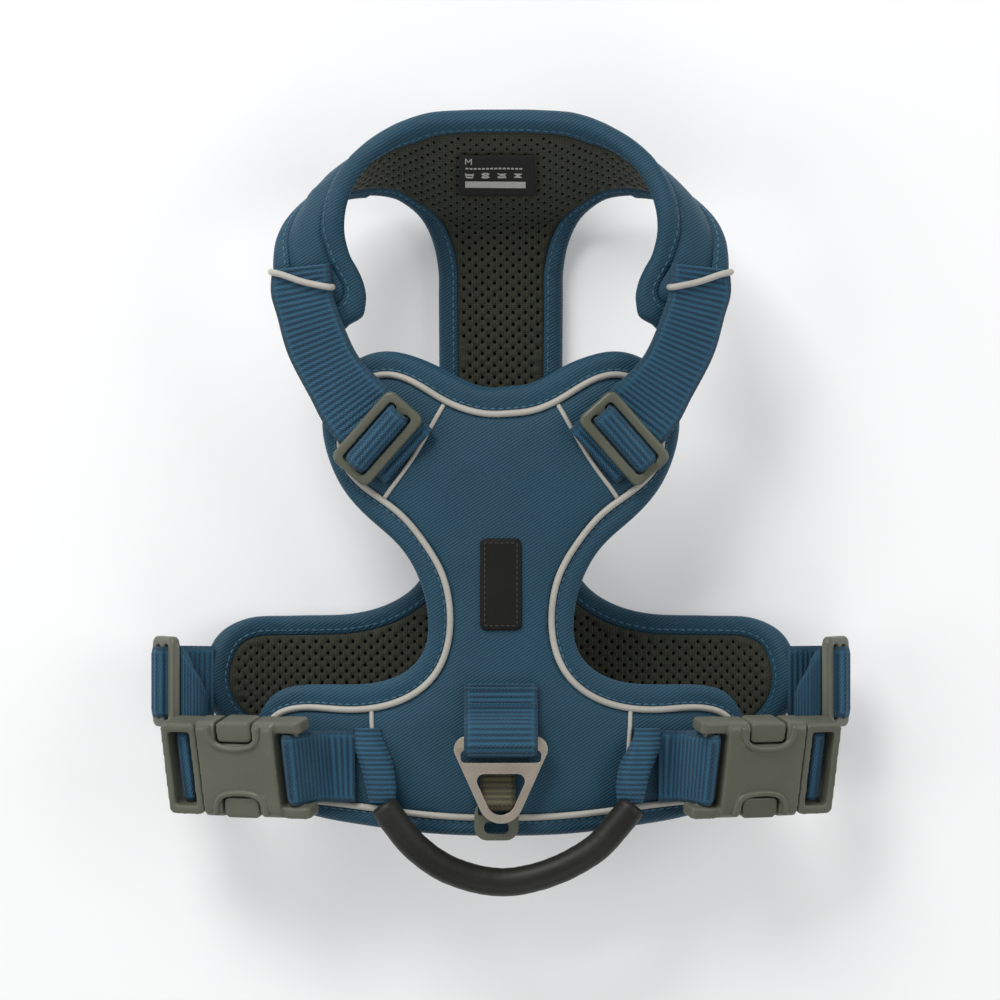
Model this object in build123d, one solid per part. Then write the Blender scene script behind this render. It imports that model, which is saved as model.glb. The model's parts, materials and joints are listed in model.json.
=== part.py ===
"""A dog harness of the no-pull kind, laid out belly down with its back plate on top.

Millimetres. +Z is up, out of the back plate. +Y runs towards the dog's head and +X to the right.
The origin is on the ground, under the middle of the harness's outer box.
"""
from build123d import *
import math
import os

os.makedirs("parts", exist_ok=True)

# ---------------------------------------------------------------- driving dimensions
WEBBING_WIDTH = 25.0
WEBBING_THICK = 1.4
WORKING_GAP = 0.3

PLATE_CREST = 44.0
PLATE_ARCH_RADIUS = 300.0
PLATE_THICK = 6.0
SHELL_THICK = 1.2
LINING_THICK = 1.0
PIPING_DIAMETER = 2.2
THIN_PIPING_DIAMETER = 1.3

BELLY_THICK = 6.8
BELLY_FLAT_HALF = 72.0
BELLY_WING_RADIUS = 45.0
BELLY_WING_SWEEP = 50.0
BELLY_BINDING = 6.5
YOKE_THICK = 6.4
YOKE_BINDING = 7.0
STEM_TOP_Y = 94.0

STRAP_RISE_X = 0.137
STRAP_RISE_Y = 0.11
STRAP_LIFT = 2.1
STRAP_LAYERS = 2 * WEBBING_THICK
NECK_SLIDER_SPOT = (-41.3, 21.6)
NECK_SLIDER_TURN = 48.0

SLIDER_LENGTH = 31.5
SLIDER_WIDTH = 16.3
SLIDER_THICK = 3.2
SLIDER_SLOT_LENGTH = 25.6
SLIDER_BAR = 3.4

BUCKLE_WIDTH = 34.0
BUCKLE_THICK = 11.5
BUCKLE_SPLIT = 14.3
BUCKLE_INNER_END = -25.0
BUCKLE_OUTER_END = 28.0
BUCKLE_PITCH = 24.0
BUCKLE_ROLL = 14.0
BUCKLE_CENTRE = (-87.5, -90.5, 41.5)
BUCKLE_BAR = -20.0
MALE_BAR = 21.3

GIRTH_SLIDER_CENTRE = (-114.4, -62.6, 19.8)
GIRTH_SLIDER_LEAN = 30.0
FOLD_CENTRE = (-105.5, 24.0)
FOLD_DRIFT = 27.5

HANDLE_DIAMETER = 9.7
HANDLE_BORE = 6.4

RING_THICK = 2.5
RING_PIVOT = (0.0, -82.2, PLATE_CREST + 6.5)
TAG_PIVOT = (-1.5, -102.9, PLATE_CREST + 2.5)
CHEST_RING_PIVOT = (0.0, 123.6, 21.3)
CHEST_RING_HEIGHT = 17.0

PARTS = {}


# ---------------------------------------------------------------- shared construction
def mirrored_half(half):
    """A closed outline from its left half, listed from the top middle to the bottom middle."""
    return half + [(-x, y) for x, y in reversed(half[1:-1])]


def shifted(points, distance, closed):
    """Points moved to the left of the direction of travel by a distance."""
    moved = []
    count = len(points)
    for i, (x, y) in enumerate(points):
        before = points[i - 1] if closed or i > 0 else points[i]
        after = points[(i + 1) % count] if closed or i < count - 1 else points[i]
        along_x = after[0] - before[0]
        along_y = after[1] - before[1]
        length = math.hypot(along_x, along_y)
        moved.append((x - distance * along_y / length, y + distance * along_x / length))
    return moved


def smooth_face(points):
    """A face inside one smooth closed outline."""
    return make_face(Spline(*points, periodic=True))


def prism(face, low, high):
    """A face in plan, raised between two heights."""
    return extrude(Pos(0, 0, low) * face, high - low)


def arched(face, below_low, below_high):
    """The stretch of a plan face between two depths under the back plate's arched top."""
    axis = Pos(0, 0, PLATE_CREST - PLATE_ARCH_RADIUS) * Rot(90, 0, 0)
    outer = axis * Cylinder(PLATE_ARCH_RADIUS - below_high, 400)
    inner = axis * Cylinder(PLATE_ARCH_RADIUS - below_low, 420)
    return prism(face, 0, 90) & (outer - inner)


def plate_top(x):
    """Height of the back plate's top at a place across it."""
    return PLATE_CREST - PLATE_ARCH_RADIUS + math.sqrt(PLATE_ARCH_RADIUS**2 - x**2)


def belly_path(height, reverse):
    """The belly panel's cross line at one height: flat in the middle, with its wings curled up."""
    radius = BELLY_WING_RADIUS - height

    def wing(side, share):
        turn = math.radians(BELLY_WING_SWEEP * share)
        x = side * (BELLY_FLAT_HALF + radius * math.sin(turn))
        return (x, BELLY_WING_RADIUS - radius * math.cos(turn))

    points = [wing(-1, 1), wing(-1, 0.5), wing(-1, 0), wing(1, 0), wing(1, 0.5), wing(1, 1)]
    if reverse:
        points.reverse()
    ends = [points[0], points[-1]]
    return [ThreePointArc(*points[0:3]), Line(*points[2:4]), ThreePointArc(*points[3:6])], ends


def curled(face, low, high):
    """The stretch of a plan face between two heights of the curled belly panel."""
    lower, lower_ends = belly_path(low, False)
    upper, upper_ends = belly_path(high, True)
    sides = [Line(lower_ends[1], upper_ends[0]), Line(upper_ends[1], lower_ends[0])]
    section = Plane.XZ * make_face(lower + upper + sides)
    return prism(face, -2, 60) & extrude(section, 150, both=True)


def ribbon_face(points, thickness, straight=False):
    """A strip's side view: a path with half the thickness on each side."""
    one = shifted(points, thickness / 2, False)
    other = shifted(points, -thickness / 2, False)
    other.reverse()
    if straight:
        return make_face(Polyline(*one, *other, close=True))
    return make_face([Spline(*one), Line(one[-1], other[0]), Spline(*other), Line(other[-1], one[0])])


def ribbon(points, thickness, y_near, y_far):
    """A strip of webbing that follows a path in X and Z, between two places along Y."""
    return Pos(0, y_far, 0) * extrude(Plane.XZ * ribbon_face(points, thickness), y_far - y_near)


def mirror_side(shape):
    """The same piece on the right side of the harness."""
    return mirror(shape, about=Plane.YZ)


def add_pair(name, shape):
    """Keep a left piece and its mirror image on the right."""
    PARTS[name + "_left"] = shape
    PARTS[name + "_right"] = mirror_side(shape)


def join(shapes):
    """Several shapes as one."""
    whole = shapes[0]
    for shape in shapes[1:]:
        whole = whole + shape
    return whole


# ---------------------------------------------------------------- back plate
PLATE_HALF = [
    (0, 38.7), (-10, 40), (-20, 45), (-30, 49.3), (-40, 51), (-50, 48), (-58.5, 39), (-61.7, 28),
    (-60, 16), (-54.5, 4), (-45, -6.5), (-35, -15.5), (-28.5, -26), (-25.3, -38), (-27, -52),
    (-34, -59), (-48, -62.7), (-66, -63), (-78, -66), (-84.5, -76), (-84.5, -90), (-78, -101.5),
    (-66, -107.5), (-50, -110.5), (-25, -113.5), (0, -114.3),
]
PLATE_SEAM_HALF = [
    (0, 29.5), (-10, 30.5), (-20, 34.5), (-30, 40.5), (-39.5, 43), (-48, 40), (-53.5, 32), (-55, 23),
    (-53.5, 13), (-47, 5), (-35, -4), (-26, -14.5), (-20, -25), (-17.3, -38), (-17.9, -48),
    (-22, -58.5), (-30, -66), (-40, -70), (-54, -71.3), (-70, -71), (-78, -74.5), (-80.5, -83),
    (-79, -93), (-72, -100.5), (-60, -103), (-30, -106.5), (0, -108),
]


def back_plate():
    """The padded panel that lies on the dog's back, in its layers."""
    outline = smooth_face(mirrored_half(PLATE_HALF))
    seam_line = mirrored_half(PLATE_SEAM_HALF)
    seam = smooth_face(seam_line)
    rim = outline - seam
    cover_low = SHELL_THICK
    pad_low = PLATE_THICK - LINING_THICK
    PARTS["back_plate_shell"] = arched(seam, cover_low, 0)
    PARTS["back_plate_foam"] = arched(seam, pad_low, cover_low)
    PARTS["back_plate_lining"] = arched(seam, PLATE_THICK, pad_low)
    PARTS["back_plate_binding"] = arched(rim, PLATE_THICK - 0.4, 0.2)
    half = PIPING_DIAMETER / 2
    band = smooth_face(shifted(seam_line, -half, True)) - smooth_face(shifted(seam_line, half, True))
    PARTS["back_plate_piping"] = arched(band, 0, -half)
    thin = THIN_PIPING_DIAMETER
    upper = make_face(Polyline((-19.5, 32), (-19.5 - thin, 32), (-30.6, 14.5), (-39.8, 2), (-39, 1.2),
                               (-29.6, 14.2), close=True))
    lower = make_face(Polyline((-44.6, -73), (-44.6 + thin, -73), (-44.3 + thin, -77.5), (-44.3, -77.5),
                               close=True))
    lines = [arched(face, 0, -thin) for face in (upper, lower)]
    PARTS["back_plate_seam_piping"] = join(lines + [mirror_side(line) for line in lines])


def blank_patch():
    """The blank stitched patch in the middle of the back plate."""
    face = Pos(0, -28.5) * RectangleRounded(14.3, 31.5, 2.0)
    PARTS["blank_patch"] = arched(face, 0, -1.2)


# ---------------------------------------------------------------- belly panel and stem
BELLY_HALF = [
    (-21.7, 70), (-21.5, 40), (-21.5, 10), (-22.5, -15), (-28.5, -28), (-38, -35.5), (-52, -39.5),
    (-72, -40.2), (-88, -41), (-98, -47), (-102.5, -60), (-100, -72), (-92, -81), (-78, -86.5),
    (-50, -88.5), (-20, -90.5), (0, -91),
]


def stemmed_face(distance):
    """The belly panel's outline with its stem cut off square, drawn in by a distance."""
    left = [(-21.7, STEM_TOP_Y)] + BELLY_HALF
    whole = left + [(-x, y) for x, y in reversed(left[:-1])]
    inner = shifted(whole, distance, False)
    inner[0] = (inner[0][0], STEM_TOP_Y)
    inner[-1] = (inner[-1][0], STEM_TOP_Y)
    return make_face([Spline(*inner), Line(inner[-1], inner[0])])


def belly_panel():
    """The padded panel under the belly and the stem between the front legs, in their layers."""
    outline = stemmed_face(0)
    inside = stemmed_face(BELLY_BINDING)
    lining_low = BELLY_THICK - LINING_THICK
    PARTS["belly_shell"] = curled(inside, 0, SHELL_THICK)
    PARTS["belly_foam"] = curled(inside, SHELL_THICK, lining_low)
    PARTS["belly_lining"] = curled(inside, lining_low, BELLY_THICK)
    PARTS["belly_binding"] = curled(outline - inside, 0, BELLY_THICK)


# ---------------------------------------------------------------- chest yoke and its two arms
# Each station: the leg-side edge and the neck-side edge of the panel's middle surface.
YOKE_STATIONS = [
    ((0, 96.6, 4.7), (0, 132.5, 40)),
    ((-14, 97.0, 4.9), (-13, 132.3, 40.5)),
    ((-27, 100.5, 8.4), (-26, 131, 41.5)),
    ((-40, 106, 14), (-37, 126, 43.5)),
    ((-55, 103, 19), (-46, 118, 46)),
    ((-66, 96, 26), (-52, 108, 49)),
    ((-73, 88, 33), (-54, 96, 50.5)),
    ((-76.5, 80, 39.6), (-52, 85, 46.5)),
    ((-76.5, 72, 40), (-47, 75, 44.4)),
    ((-73, 64, 39.3), (-46, 66, 43.2)),
    ((-66, 58, 39.4), (-49, 58.5, 41.8)),
]


def yoke_frames():
    """Every station as its two edge points, its direction across and its outward normal."""
    half = [(Vector(*low), Vector(*high)) for low, high in YOKE_STATIONS]
    flip = [(Vector(-a.X, a.Y, a.Z), Vector(-b.X, b.Y, b.Z)) for a, b in half[1:]]
    whole = list(reversed(flip)) + half
    middles = [(low + high) * 0.5 for low, high in whole]
    frames = []
    last = len(whole) - 1
    for i, (low, high) in enumerate(whole):
        along = middles[min(i + 1, last)] - middles[max(i - 1, 0)]
        across = (high - low).normalized()
        outward = along.cross(across).normalized()
        frames.append((low, high, across, outward))
    return frames


def yoke_layer(side_low, side_high, depth_low, depth_high):
    """One layer of the yoke.

    side_low and side_high place its two edges: a distance in from the leg edge, and one in from the
    neck edge. The depths are measured outwards from the panel's middle surface.
    """
    faces = []
    for low, high, across, outward in yoke_frames():
        start = low + across * side_low
        end = high - across * side_high
        corners = [start + outward * depth_low, end + outward * depth_low,
                   end + outward * depth_high, start + outward * depth_high]
        faces.append(make_face(Polyline(*corners, close=True)))
    return loft(faces, ruled=True)


def yoke_edge(from_neck, width):
    """A binding strip along the yoke's neck edge or its leg edge."""
    half = YOKE_THICK / 2
    faces = []
    for low, high, across, outward in yoke_frames():
        start = high - across * width if from_neck else low
        end = high if from_neck else low + across * width
        corners = [start - outward * half, end - outward * half, end + outward * half,
                   start + outward * half]
        faces.append(make_face(Polyline(*corners, close=True)))
    return loft(faces, ruled=True)


def yoke():
    """The chest yoke: a padded collar that rises to the neck, with an arm over each shoulder."""
    half = YOKE_THICK / 2
    rim = YOKE_BINDING
    PARTS["yoke_shell"] = yoke_layer(rim, rim, half - SHELL_THICK, half)
    PARTS["yoke_foam"] = yoke_layer(rim, rim, LINING_THICK - half, half - SHELL_THICK)
    PARTS["yoke_lining"] = yoke_layer(rim, rim, -half, LINING_THICK - half)
    PARTS["yoke_neck_binding"] = yoke_edge(True, rim)
    PARTS["yoke_leg_binding"] = yoke_edge(False, rim)


# ---------------------------------------------------------------- neck straps and their sliders
# In plan, from the slider: each strap's left edge from the arm down, then its right edge back up.
NECK_STRAP_LEFT = [(-77.0, 77), (-77.5, 71), (-75.5, 63), (-72, 50), (-65, 36), (-57, 22), (-39.4, 5.7)]
NECK_STRAP_RIGHT = [(-22.8, 24.1), (-38, 39.5), (-47, 49), (-56, 60), (-61.5, 67), (-66, 74)]


def strap_plane():
    """The tilted plane that the left neck strap lies on, with its origin under the slider."""
    x, y = NECK_SLIDER_SPOT
    normal = Vector(-STRAP_RISE_X, -STRAP_RISE_Y, 1)
    height = plate_top(x) + STRAP_LIFT
    return Plane(origin=(x, y, height), x_dir=(1, 0, STRAP_RISE_X), z_dir=normal)


def slider():
    """A three-bar slider on its back: long axis on X, webbing running along Y."""
    body = RectangleRounded(SLIDER_LENGTH, SLIDER_WIDTH, 3.0)
    slot_width = (SLIDER_WIDTH - 3 * SLIDER_BAR) / 2
    spot = (SLIDER_BAR + slot_width) / 2
    slot = RectangleRounded(SLIDER_SLOT_LENGTH, slot_width, 0.9)
    frame = extrude(body - Pos(0, spot) * slot - Pos(0, -spot) * slot, SLIDER_THICK)
    rims = frame.edges().filter_by(GeomType.LINE).group_by(Axis.Z)[-1]
    long_rims = [e for e in rims if e.length > SLIDER_LENGTH * 0.7 and abs(e.center().Y) > SLIDER_WIDTH * 0.45]
    return fillet(long_rims, 1.0)


def slider_loop(top):
    """The bight of webbing over a slider's middle bar, to a height above the slider's base."""
    side = SLIDER_BAR / 2 + WORKING_GAP + WEBBING_THICK / 2
    crown = top - WEBBING_THICK / 2
    path = [(-side, 0.5), (-side, SLIDER_THICK - 0.2), (-side * 0.8, crown - 0.6), (0, crown),
            (side * 0.8, crown - 0.6), (side, SLIDER_THICK - 0.2), (side, 0.5)]
    face = Plane.YZ * ribbon_face(path, WEBBING_THICK, straight=True)
    return extrude(face, (WEBBING_WIDTH - 0.6) / 2, both=True)


def neck_straps():
    """Both neck straps with their sliders, from the arms down to the back plate."""
    plane = strap_plane()
    x, y = NECK_SLIDER_SPOT
    left = [(a - x, b - y) for a, b in NECK_STRAP_LEFT]
    right = [(a - x, b - y) for a, b in NECK_STRAP_RIGHT]
    face = make_face([Spline(*left), Line(left[-1], right[0]), Spline(*right), Line(right[-1], left[0])])
    add_pair("neck_webbing", plane.location * extrude(face, STRAP_LAYERS))
    seat = plane.location * Rot(0, 0, NECK_SLIDER_TURN) * Pos(0, 0, STRAP_LAYERS + WORKING_GAP)
    add_pair("neck_slider", seat * slider())
    add_pair("neck_webbing_loop", seat * slider_loop(SLIDER_THICK + 2.6))
    rod = Line((-78.0 - x, 78.5 - y, 0), (-56.0 - x, 73.2 - y, 0))
    bead = sweep(Plane(origin=rod @ 0, z_dir=rod % 0) * Circle(PIPING_DIAMETER / 2), path=rod)
    lift = STRAP_LAYERS + PIPING_DIAMETER / 2
    add_pair("arm_piping", plane.location * Pos(0, 0, lift) * bead)


# ---------------------------------------------------------------- side-release buckles
def buckle_plane():
    """The left buckle's own frame: X along it and outwards, Z out of its top."""
    pitch = math.radians(BUCKLE_PITCH)
    roll = math.radians(BUCKLE_ROLL)
    along = Vector(-math.cos(pitch), 0, -math.sin(pitch))
    level = Vector(-math.sin(pitch), 0, math.cos(pitch))
    top = level * math.cos(roll) + Vector(0, -math.sin(roll), 0)
    return Plane(origin=BUCKLE_CENTRE, x_dir=along, z_dir=top)


def block(x_low, x_high, y_low, y_high, z_low, z_high):
    """A box between two corners."""
    size = (x_high - x_low, y_high - y_low, z_high - z_low)
    centre = ((x_low + x_high) / 2, (y_low + y_high) / 2, (z_low + z_high) / 2)
    return Pos(*centre) * Box(*size)


def buckle_female():
    """The socket half: a hollow body open at the split, side windows, and a bar between two horns."""
    half_w = BUCKLE_WIDTH / 2
    half_t = BUCKLE_THICK / 2
    body = block(-15, BUCKLE_SPLIT, -half_w, half_w, -half_t, half_t)
    body = fillet(body.edges().filter_by(Axis.X), 3.0)
    body = body - block(-12, BUCKLE_SPLIT + 1, -14.4, 14.4, -3.3, 3.3)
    for side in (-1, 1):
        near, far = sorted((side * 9.3, side * (half_w + 2)))
        window = block(-7.2, 7.2, near, far, -half_t - 1, half_t + 1)
        body = body - window
        near, far = sorted((side * 13.0, side * half_w))
        horn = block(BUCKLE_INNER_END, -15, near, far, -4.4, 4.4)
        body = body + fillet(horn.edges().filter_by(Axis.Y), 1.6)
        near, far = sorted((side * 9.3, side * 12.2))
        body = body + block(-9.4, -7.3, near, far, 3.3, half_t + 0.5)
    bar = Pos(BUCKLE_BAR, 0, 0) * Rot(90, 0, 0) * Cylinder(2.0, 2 * 13.2)
    return body + bar


def buckle_male():
    """The plug half: a webbing bar in a slot, and a central guide that enters the socket."""
    half_t = BUCKLE_THICK / 2 - 0.4
    half_w = BUCKLE_WIDTH / 2 - 0.8
    body = block(BUCKLE_SPLIT + 0.3, BUCKLE_OUTER_END, -half_w, half_w, -half_t, half_t)
    body = fillet(body.edges().filter_by(Axis.Z), 2.2)
    body = body - block(17.2, 25.4, -13.0, 13.0, -half_t - 1, half_t + 1)
    bar = block(MALE_BAR - 1.1, MALE_BAR + 1.1, -13.2, 13.2, -2.8, 1.0)
    guide = block(-10.5, BUCKLE_SPLIT + 1, -3.2, 3.2, -2.2, 2.2)
    return body + bar + guide


def latch_arm(side):
    """A spring arm of the plug with its thumb pad. side is 1 or -1."""
    near, far = sorted((side * 10.6, side * 12.6))
    arm = block(-5, BUCKLE_SPLIT, near, far, -2.6, 2.6)
    near, far = sorted((side * 9.8, side * (BUCKLE_WIDTH / 2)))
    pad = block(-6.6, 6.6, near, far, -BUCKLE_THICK / 2 + 1.0, BUCKLE_THICK / 2 - 0.6)
    return arm + fillet(pad.edges().filter_by(Axis.Z), 1.8)


def female_webbing(inner_x):
    """The doubled strap from a place on the back plate, round the left socket's bar and back."""
    lean = math.sin(math.radians(BUCKLE_ROLL)) * math.cos(math.radians(BUCKLE_PITCH))
    pitch = math.radians(BUCKLE_PITCH)
    bar_x = BUCKLE_CENTRE[0] - BUCKLE_BAR * math.cos(pitch)
    bar_z = BUCKLE_CENTRE[2] - BUCKLE_BAR * math.sin(pitch)
    wrap = 2.0 + 2 * WORKING_GAP + WEBBING_THICK / 2
    middle_x = min(inner_x - 1.8, -55.0)
    rise = (-55.0 - middle_x) * 0.236
    faces = []
    for y in (BUCKLE_CENTRE[1] + 12.0, BUCKLE_CENTRE[1] - 12.0):
        lift = lean * (y - BUCKLE_CENTRE[1])
        x = bar_x - (y - BUCKLE_CENTRE[1]) * math.tan(math.radians(BUCKLE_ROLL)) * math.sin(pitch)
        z = bar_z + lift
        path = [
            (inner_x, plate_top(inner_x) + 0.9), (middle_x, plate_top(middle_x) + 0.9 + rise),
            (-60.5, plate_top(-60.5) + 2.2), (-65.2, 43.0 + lift * 0.6), (x + 0.3, z - wrap),
            (x - wrap * 0.72, z - wrap * 0.72),
            (x - wrap, z), (x - wrap * 0.72, z + wrap * 0.72), (x + 0.3, z + wrap),
            (-64.6, z - 0.6), (-60.5, 44.9 + lift * 0.5), (middle_x, plate_top(middle_x) + 2.6 + rise),
            (inner_x, plate_top(inner_x) + 2.6),
        ]
        faces.append(Pos(0, y, 0) * (Plane.XZ * ribbon_face(path, WEBBING_THICK, straight=True)))
    return loft(faces, ruled=True)


def male_webbing():
    """The bight of girth webbing round the plug's bar."""
    inner_x = 2.2 + 2 * WORKING_GAP
    inner_z = 3.8 + 2 * WORKING_GAP
    outer = RectangleRounded(inner_x + 2 * WEBBING_THICK, inner_z + 2 * WEBBING_THICK, 2.0)
    inner = RectangleRounded(inner_x, inner_z, 0.8)
    ring = Plane.XZ * (outer - inner)
    return Pos(MALE_BAR, 0, -0.9) * extrude(ring, (WEBBING_WIDTH - 0.6) / 2, both=True)


def buckles():
    """Both buckles, with the webbing that each half holds."""
    seat = buckle_plane().location
    add_pair("buckle_female", seat * buckle_female())
    add_pair("buckle_male", seat * buckle_male())
    add_pair("latch_arm_front", seat * latch_arm(-1))
    add_pair("latch_arm_rear", seat * latch_arm(1))
    PARTS["buckle_webbing_left"] = female_webbing(-50.8)
    PARTS["buckle_webbing_right"] = mirror_side(female_webbing(-54.8))
    add_pair("male_webbing_loop", seat * male_webbing())


# ---------------------------------------------------------------- girth straps and their sliders
def girth_straps():
    """From each belly wing's end, behind its slider, and up to the buckle's plug."""
    y_far = GIRTH_SLIDER_CENTRE[1] + 12.2
    y_near = GIRTH_SLIDER_CENTRE[1] - 12.2
    lean = math.radians(GIRTH_SLIDER_LEAN)
    up = (math.sin(lean), math.cos(lean))
    out = (-math.cos(lean), math.sin(lean))
    x, _, z = GIRTH_SLIDER_CENTRE
    back = -WORKING_GAP - WEBBING_THICK / 2
    path = [(-103.4, 16.8), (-107.0, 14.9), (-111.2, 14.0), (-114.3, 16.0)]
    for reach in (-1.0, 3.0, 7.0):
        path.append((x + up[0] * reach + out[0] * back, z + up[1] * reach + out[1] * back))
    add_pair("girth_webbing", ribbon(path, WEBBING_THICK, y_near, y_far))
    plane = Plane(origin=GIRTH_SLIDER_CENTRE, x_dir=(0, -1, 0), z_dir=(out[0], 0, out[1]))
    add_pair("girth_slider", plane.location * slider())
    add_pair("girth_webbing_loop", plane.location * slider_loop(SLIDER_THICK + 3.2))
    top = path[-1]
    centres = [(top[0] + up[0] * 0.8, top[1] + up[1] * 0.8, y_far - 12.2)]
    tangents = [up]
    steps = 10
    for i in range(steps):
        turn = math.radians(128 - 26 * i)
        sideways = FOLD_DRIFT * (i + 1) / steps
        centres.append((FOLD_CENTRE[0] + 3.4 * math.cos(turn), FOLD_CENTRE[1] + 3.9 * math.sin(turn),
                        y_far - 12.2 - sideways))
        tangents.append((math.sin(turn), -math.cos(turn)))
    faces = []
    for (mid_x, mid_z, mid_y), (dir_x, dir_z) in zip(centres, tangents):
        side_x = -dir_z * WEBBING_THICK / 2
        side_z = dir_x * WEBBING_THICK / 2
        low = mid_y - 11.8
        high = mid_y + 11.8
        corners = [(mid_x - side_x, low, mid_z - side_z), (mid_x - side_x, high, mid_z - side_z),
                   (mid_x + side_x, high, mid_z + side_z), (mid_x + side_x, low, mid_z + side_z)]
        faces.append(make_face(Polyline(*corners, close=True)))
    add_pair("girth_webbing_fold", loft(faces, ruled=True))


# ---------------------------------------------------------------- lead ring, tag ring, chest ring
def loop_turn(reach):
    """Points of a half turn round a ring's bar, from below it, round its far side, to above it."""
    turns = [math.radians(angle) for angle in range(-90, -271, -30)]
    return [(reach * math.cos(turn), reach * math.sin(turn)) for turn in turns]


def wedge_ring(side_slope, top_y, tip_y, corner, tip_corner):
    """A triangular outline with rounded corners, its point towards -Y."""
    spread = math.atan(side_slope)
    point_y = tip_y - tip_corner * (1 / math.sin(spread) - 1)
    half = (top_y - point_y) * side_slope
    triangle = make_face(Polyline((-half, top_y), (half, top_y), (0, point_y), close=True))
    corners = triangle.vertices().sort_by(Axis.Y)
    face = fillet([corners[0]], tip_corner)
    uppers = face.vertices().filter_by_position(Axis.Y, top_y - 0.1, top_y + 0.1)
    return fillet(uppers, corner)


def lead_ring():
    """The pressed metal ring for the lead, and the webbing that holds it."""
    slope = 0.452
    outline = wedge_ring(slope, -79.8, -109.3, 4.4, 7.7)
    window = wedge_ring(slope, -92.5, -106.5, 2.6, 5.0)
    slot = Pos(0, -86.7) * RectangleRounded(27.4, 4.2, 1.6)
    x, y, z = RING_PIVOT
    plate = extrude(Pos(0, 0, z - RING_THICK / 2) * (outline - window - slot), RING_THICK)
    PARTS["lead_ring"] = plate
    reach = 3.8
    path = [(-62.8, PLATE_CREST + 0.9), (-74, PLATE_CREST + 0.9)]
    path += [(y + a, z + b) for a, b in loop_turn(reach)]
    path += [(-77, z + 1.6), (-72.5, PLATE_CREST + 3.0), (-70, PLATE_CREST + 2.5), (-62.8, PLATE_CREST + 2.5)]
    face = Plane.YZ * ribbon_face(path, WEBBING_THICK, straight=True)
    PARTS["lead_ring_webbing"] = extrude(face, WEBBING_WIDTH / 2, both=True)


def tag_ring():
    """The small ring for name tags, and its narrow webbing, under the lead ring."""
    x, y, z = TAG_PIVOT
    thick = 1.6
    outline = Pos(x, y - 5.75) * RectangleRounded(15.0, 13.5, 4.4)
    slot = Pos(x, y - 2.6) * RectangleRounded(12.6, 3.2, 1.0)
    window = Pos(x, y - 8.2) * RectangleRounded(8.4, 4.2, 2.0)
    PARTS["tag_ring"] = extrude(Pos(0, 0, z - thick / 2) * (outline - slot - window), thick)
    strip = 0.8
    reach = 2.0
    path = [(-90, PLATE_CREST + 0.5), (-100, PLATE_CREST + 0.55)]
    path += [(y + a, z + b) for a, b in loop_turn(reach)]
    path += [(-97, PLATE_CREST + 2.4), (-95, PLATE_CREST + 1.5), (-90, PLATE_CREST + 1.4)]
    face = Plane.YZ * ribbon_face(path, strip, straight=True)
    PARTS["tag_ring_webbing"] = Pos(x, 0, 0) * extrude(face, 6.0, both=True)


def chest_ring():
    """The front lead ring on the outside of the chest yoke, hanging from its webbing."""
    x, y, z = CHEST_RING_PIVOT
    wire = 2.8
    width = 27.0
    outline = Pos(0, -CHEST_RING_HEIGHT / 2 + wire / 2) * RectangleRounded(width, CHEST_RING_HEIGHT, 6.0)
    inside = Pos(0, -CHEST_RING_HEIGHT / 2 + wire / 2) * RectangleRounded(
        width - 2 * wire, CHEST_RING_HEIGHT - 2 * wire, 3.4)
    plane = Plane(origin=(x, y, z), x_dir=(1, 0, 0), z_dir=(0, -1, 0))
    PARTS["chest_ring"] = plane.location * extrude(outline - inside, wire / 2, both=True)
    root2 = math.sqrt(0.5)

    def spot(along, off):
        """A point on the panel's slope: up it from the ring's bar, and away from it."""
        return (y + root2 * (along + off), z + root2 * (along - off))

    flat_low = -3.0
    path = [spot(18, flat_low), spot(4, flat_low)]
    path += [spot(a, b) for a, b in loop_turn(2.8)]
    path += [spot(5, 1.4), spot(9, -1.2), spot(11, flat_low + 1.4), spot(18, flat_low + 1.4)]
    strip = 1.2
    face = Plane.YZ * ribbon_face(path, strip, straight=True)
    PARTS["chest_ring_webbing"] = extrude(face, 7.2, both=True)


# ---------------------------------------------------------------- handle
HANDLE_POINTS = [(-40, -103, 48.0), (-27.5, -121.5, 48.6), (0.5, -133.2, 46.5), (31.0, -121.5, 48.6),
                 (45, -103, 48.0)]
HANDLE_BENDS = [26.0, 40.0, 26.0]


def handle_rod(diameter):
    """A round rod along the handle's middle line."""
    path = FilletPolyline(*HANDLE_POINTS, radius=HANDLE_BENDS)
    section = Plane(origin=path @ 0, z_dir=path % 0) * Circle(diameter / 2)
    return sweep(section, path=path)


def handle_anchor(shift):
    """The rolled webbing at the handle's left end, moved along X."""
    faces = []
    for x, y, width, height in ((-45.4, -79.5, 9.2, 3.6), (-44.2, -84, 11, 6.5), (-41.5, -90, 11.5, 8.2),
                                (-40.3, -96.8, 9.6, 8.6)):
        base = plate_top(x + shift - width / 2) + 1.4
        spot = Plane(origin=(x + shift, y, base + height / 2), x_dir=(1, 0, 0), z_dir=(0, -1, 0))
        faces.append(spot * Ellipse(width / 2, height / 2))
    return loft(faces)


def handle():
    """The carry handle: a rubber tube over a webbing core, and the rolled webbing it is sewn on by."""
    PARTS["handle_tube"] = handle_rod(HANDLE_DIAMETER) - handle_rod(HANDLE_BORE)
    PARTS["handle_core"] = handle_rod(HANDLE_BORE - 0.4)
    PARTS["handle_anchor_left"] = handle_anchor(0)
    PARTS["handle_anchor_right"] = mirror_side(handle_anchor(-4.0))


def size_label():
    """The woven label on the yoke's lining, at the middle of the chest."""
    low, high, across, outward = yoke_frames()[len(YOKE_STATIONS) - 1]
    spot = low + (high - low) * 0.5 - outward * (YOKE_THICK / 2 + 0.6)
    plane = Plane(origin=spot, x_dir=(1, 0, 0), z_dir=-outward)
    PARTS["size_label"] = plane.location * Pos(-1.5, 0, 0) * extrude(Rectangle(25.6, 20.0), 0.4)


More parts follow.
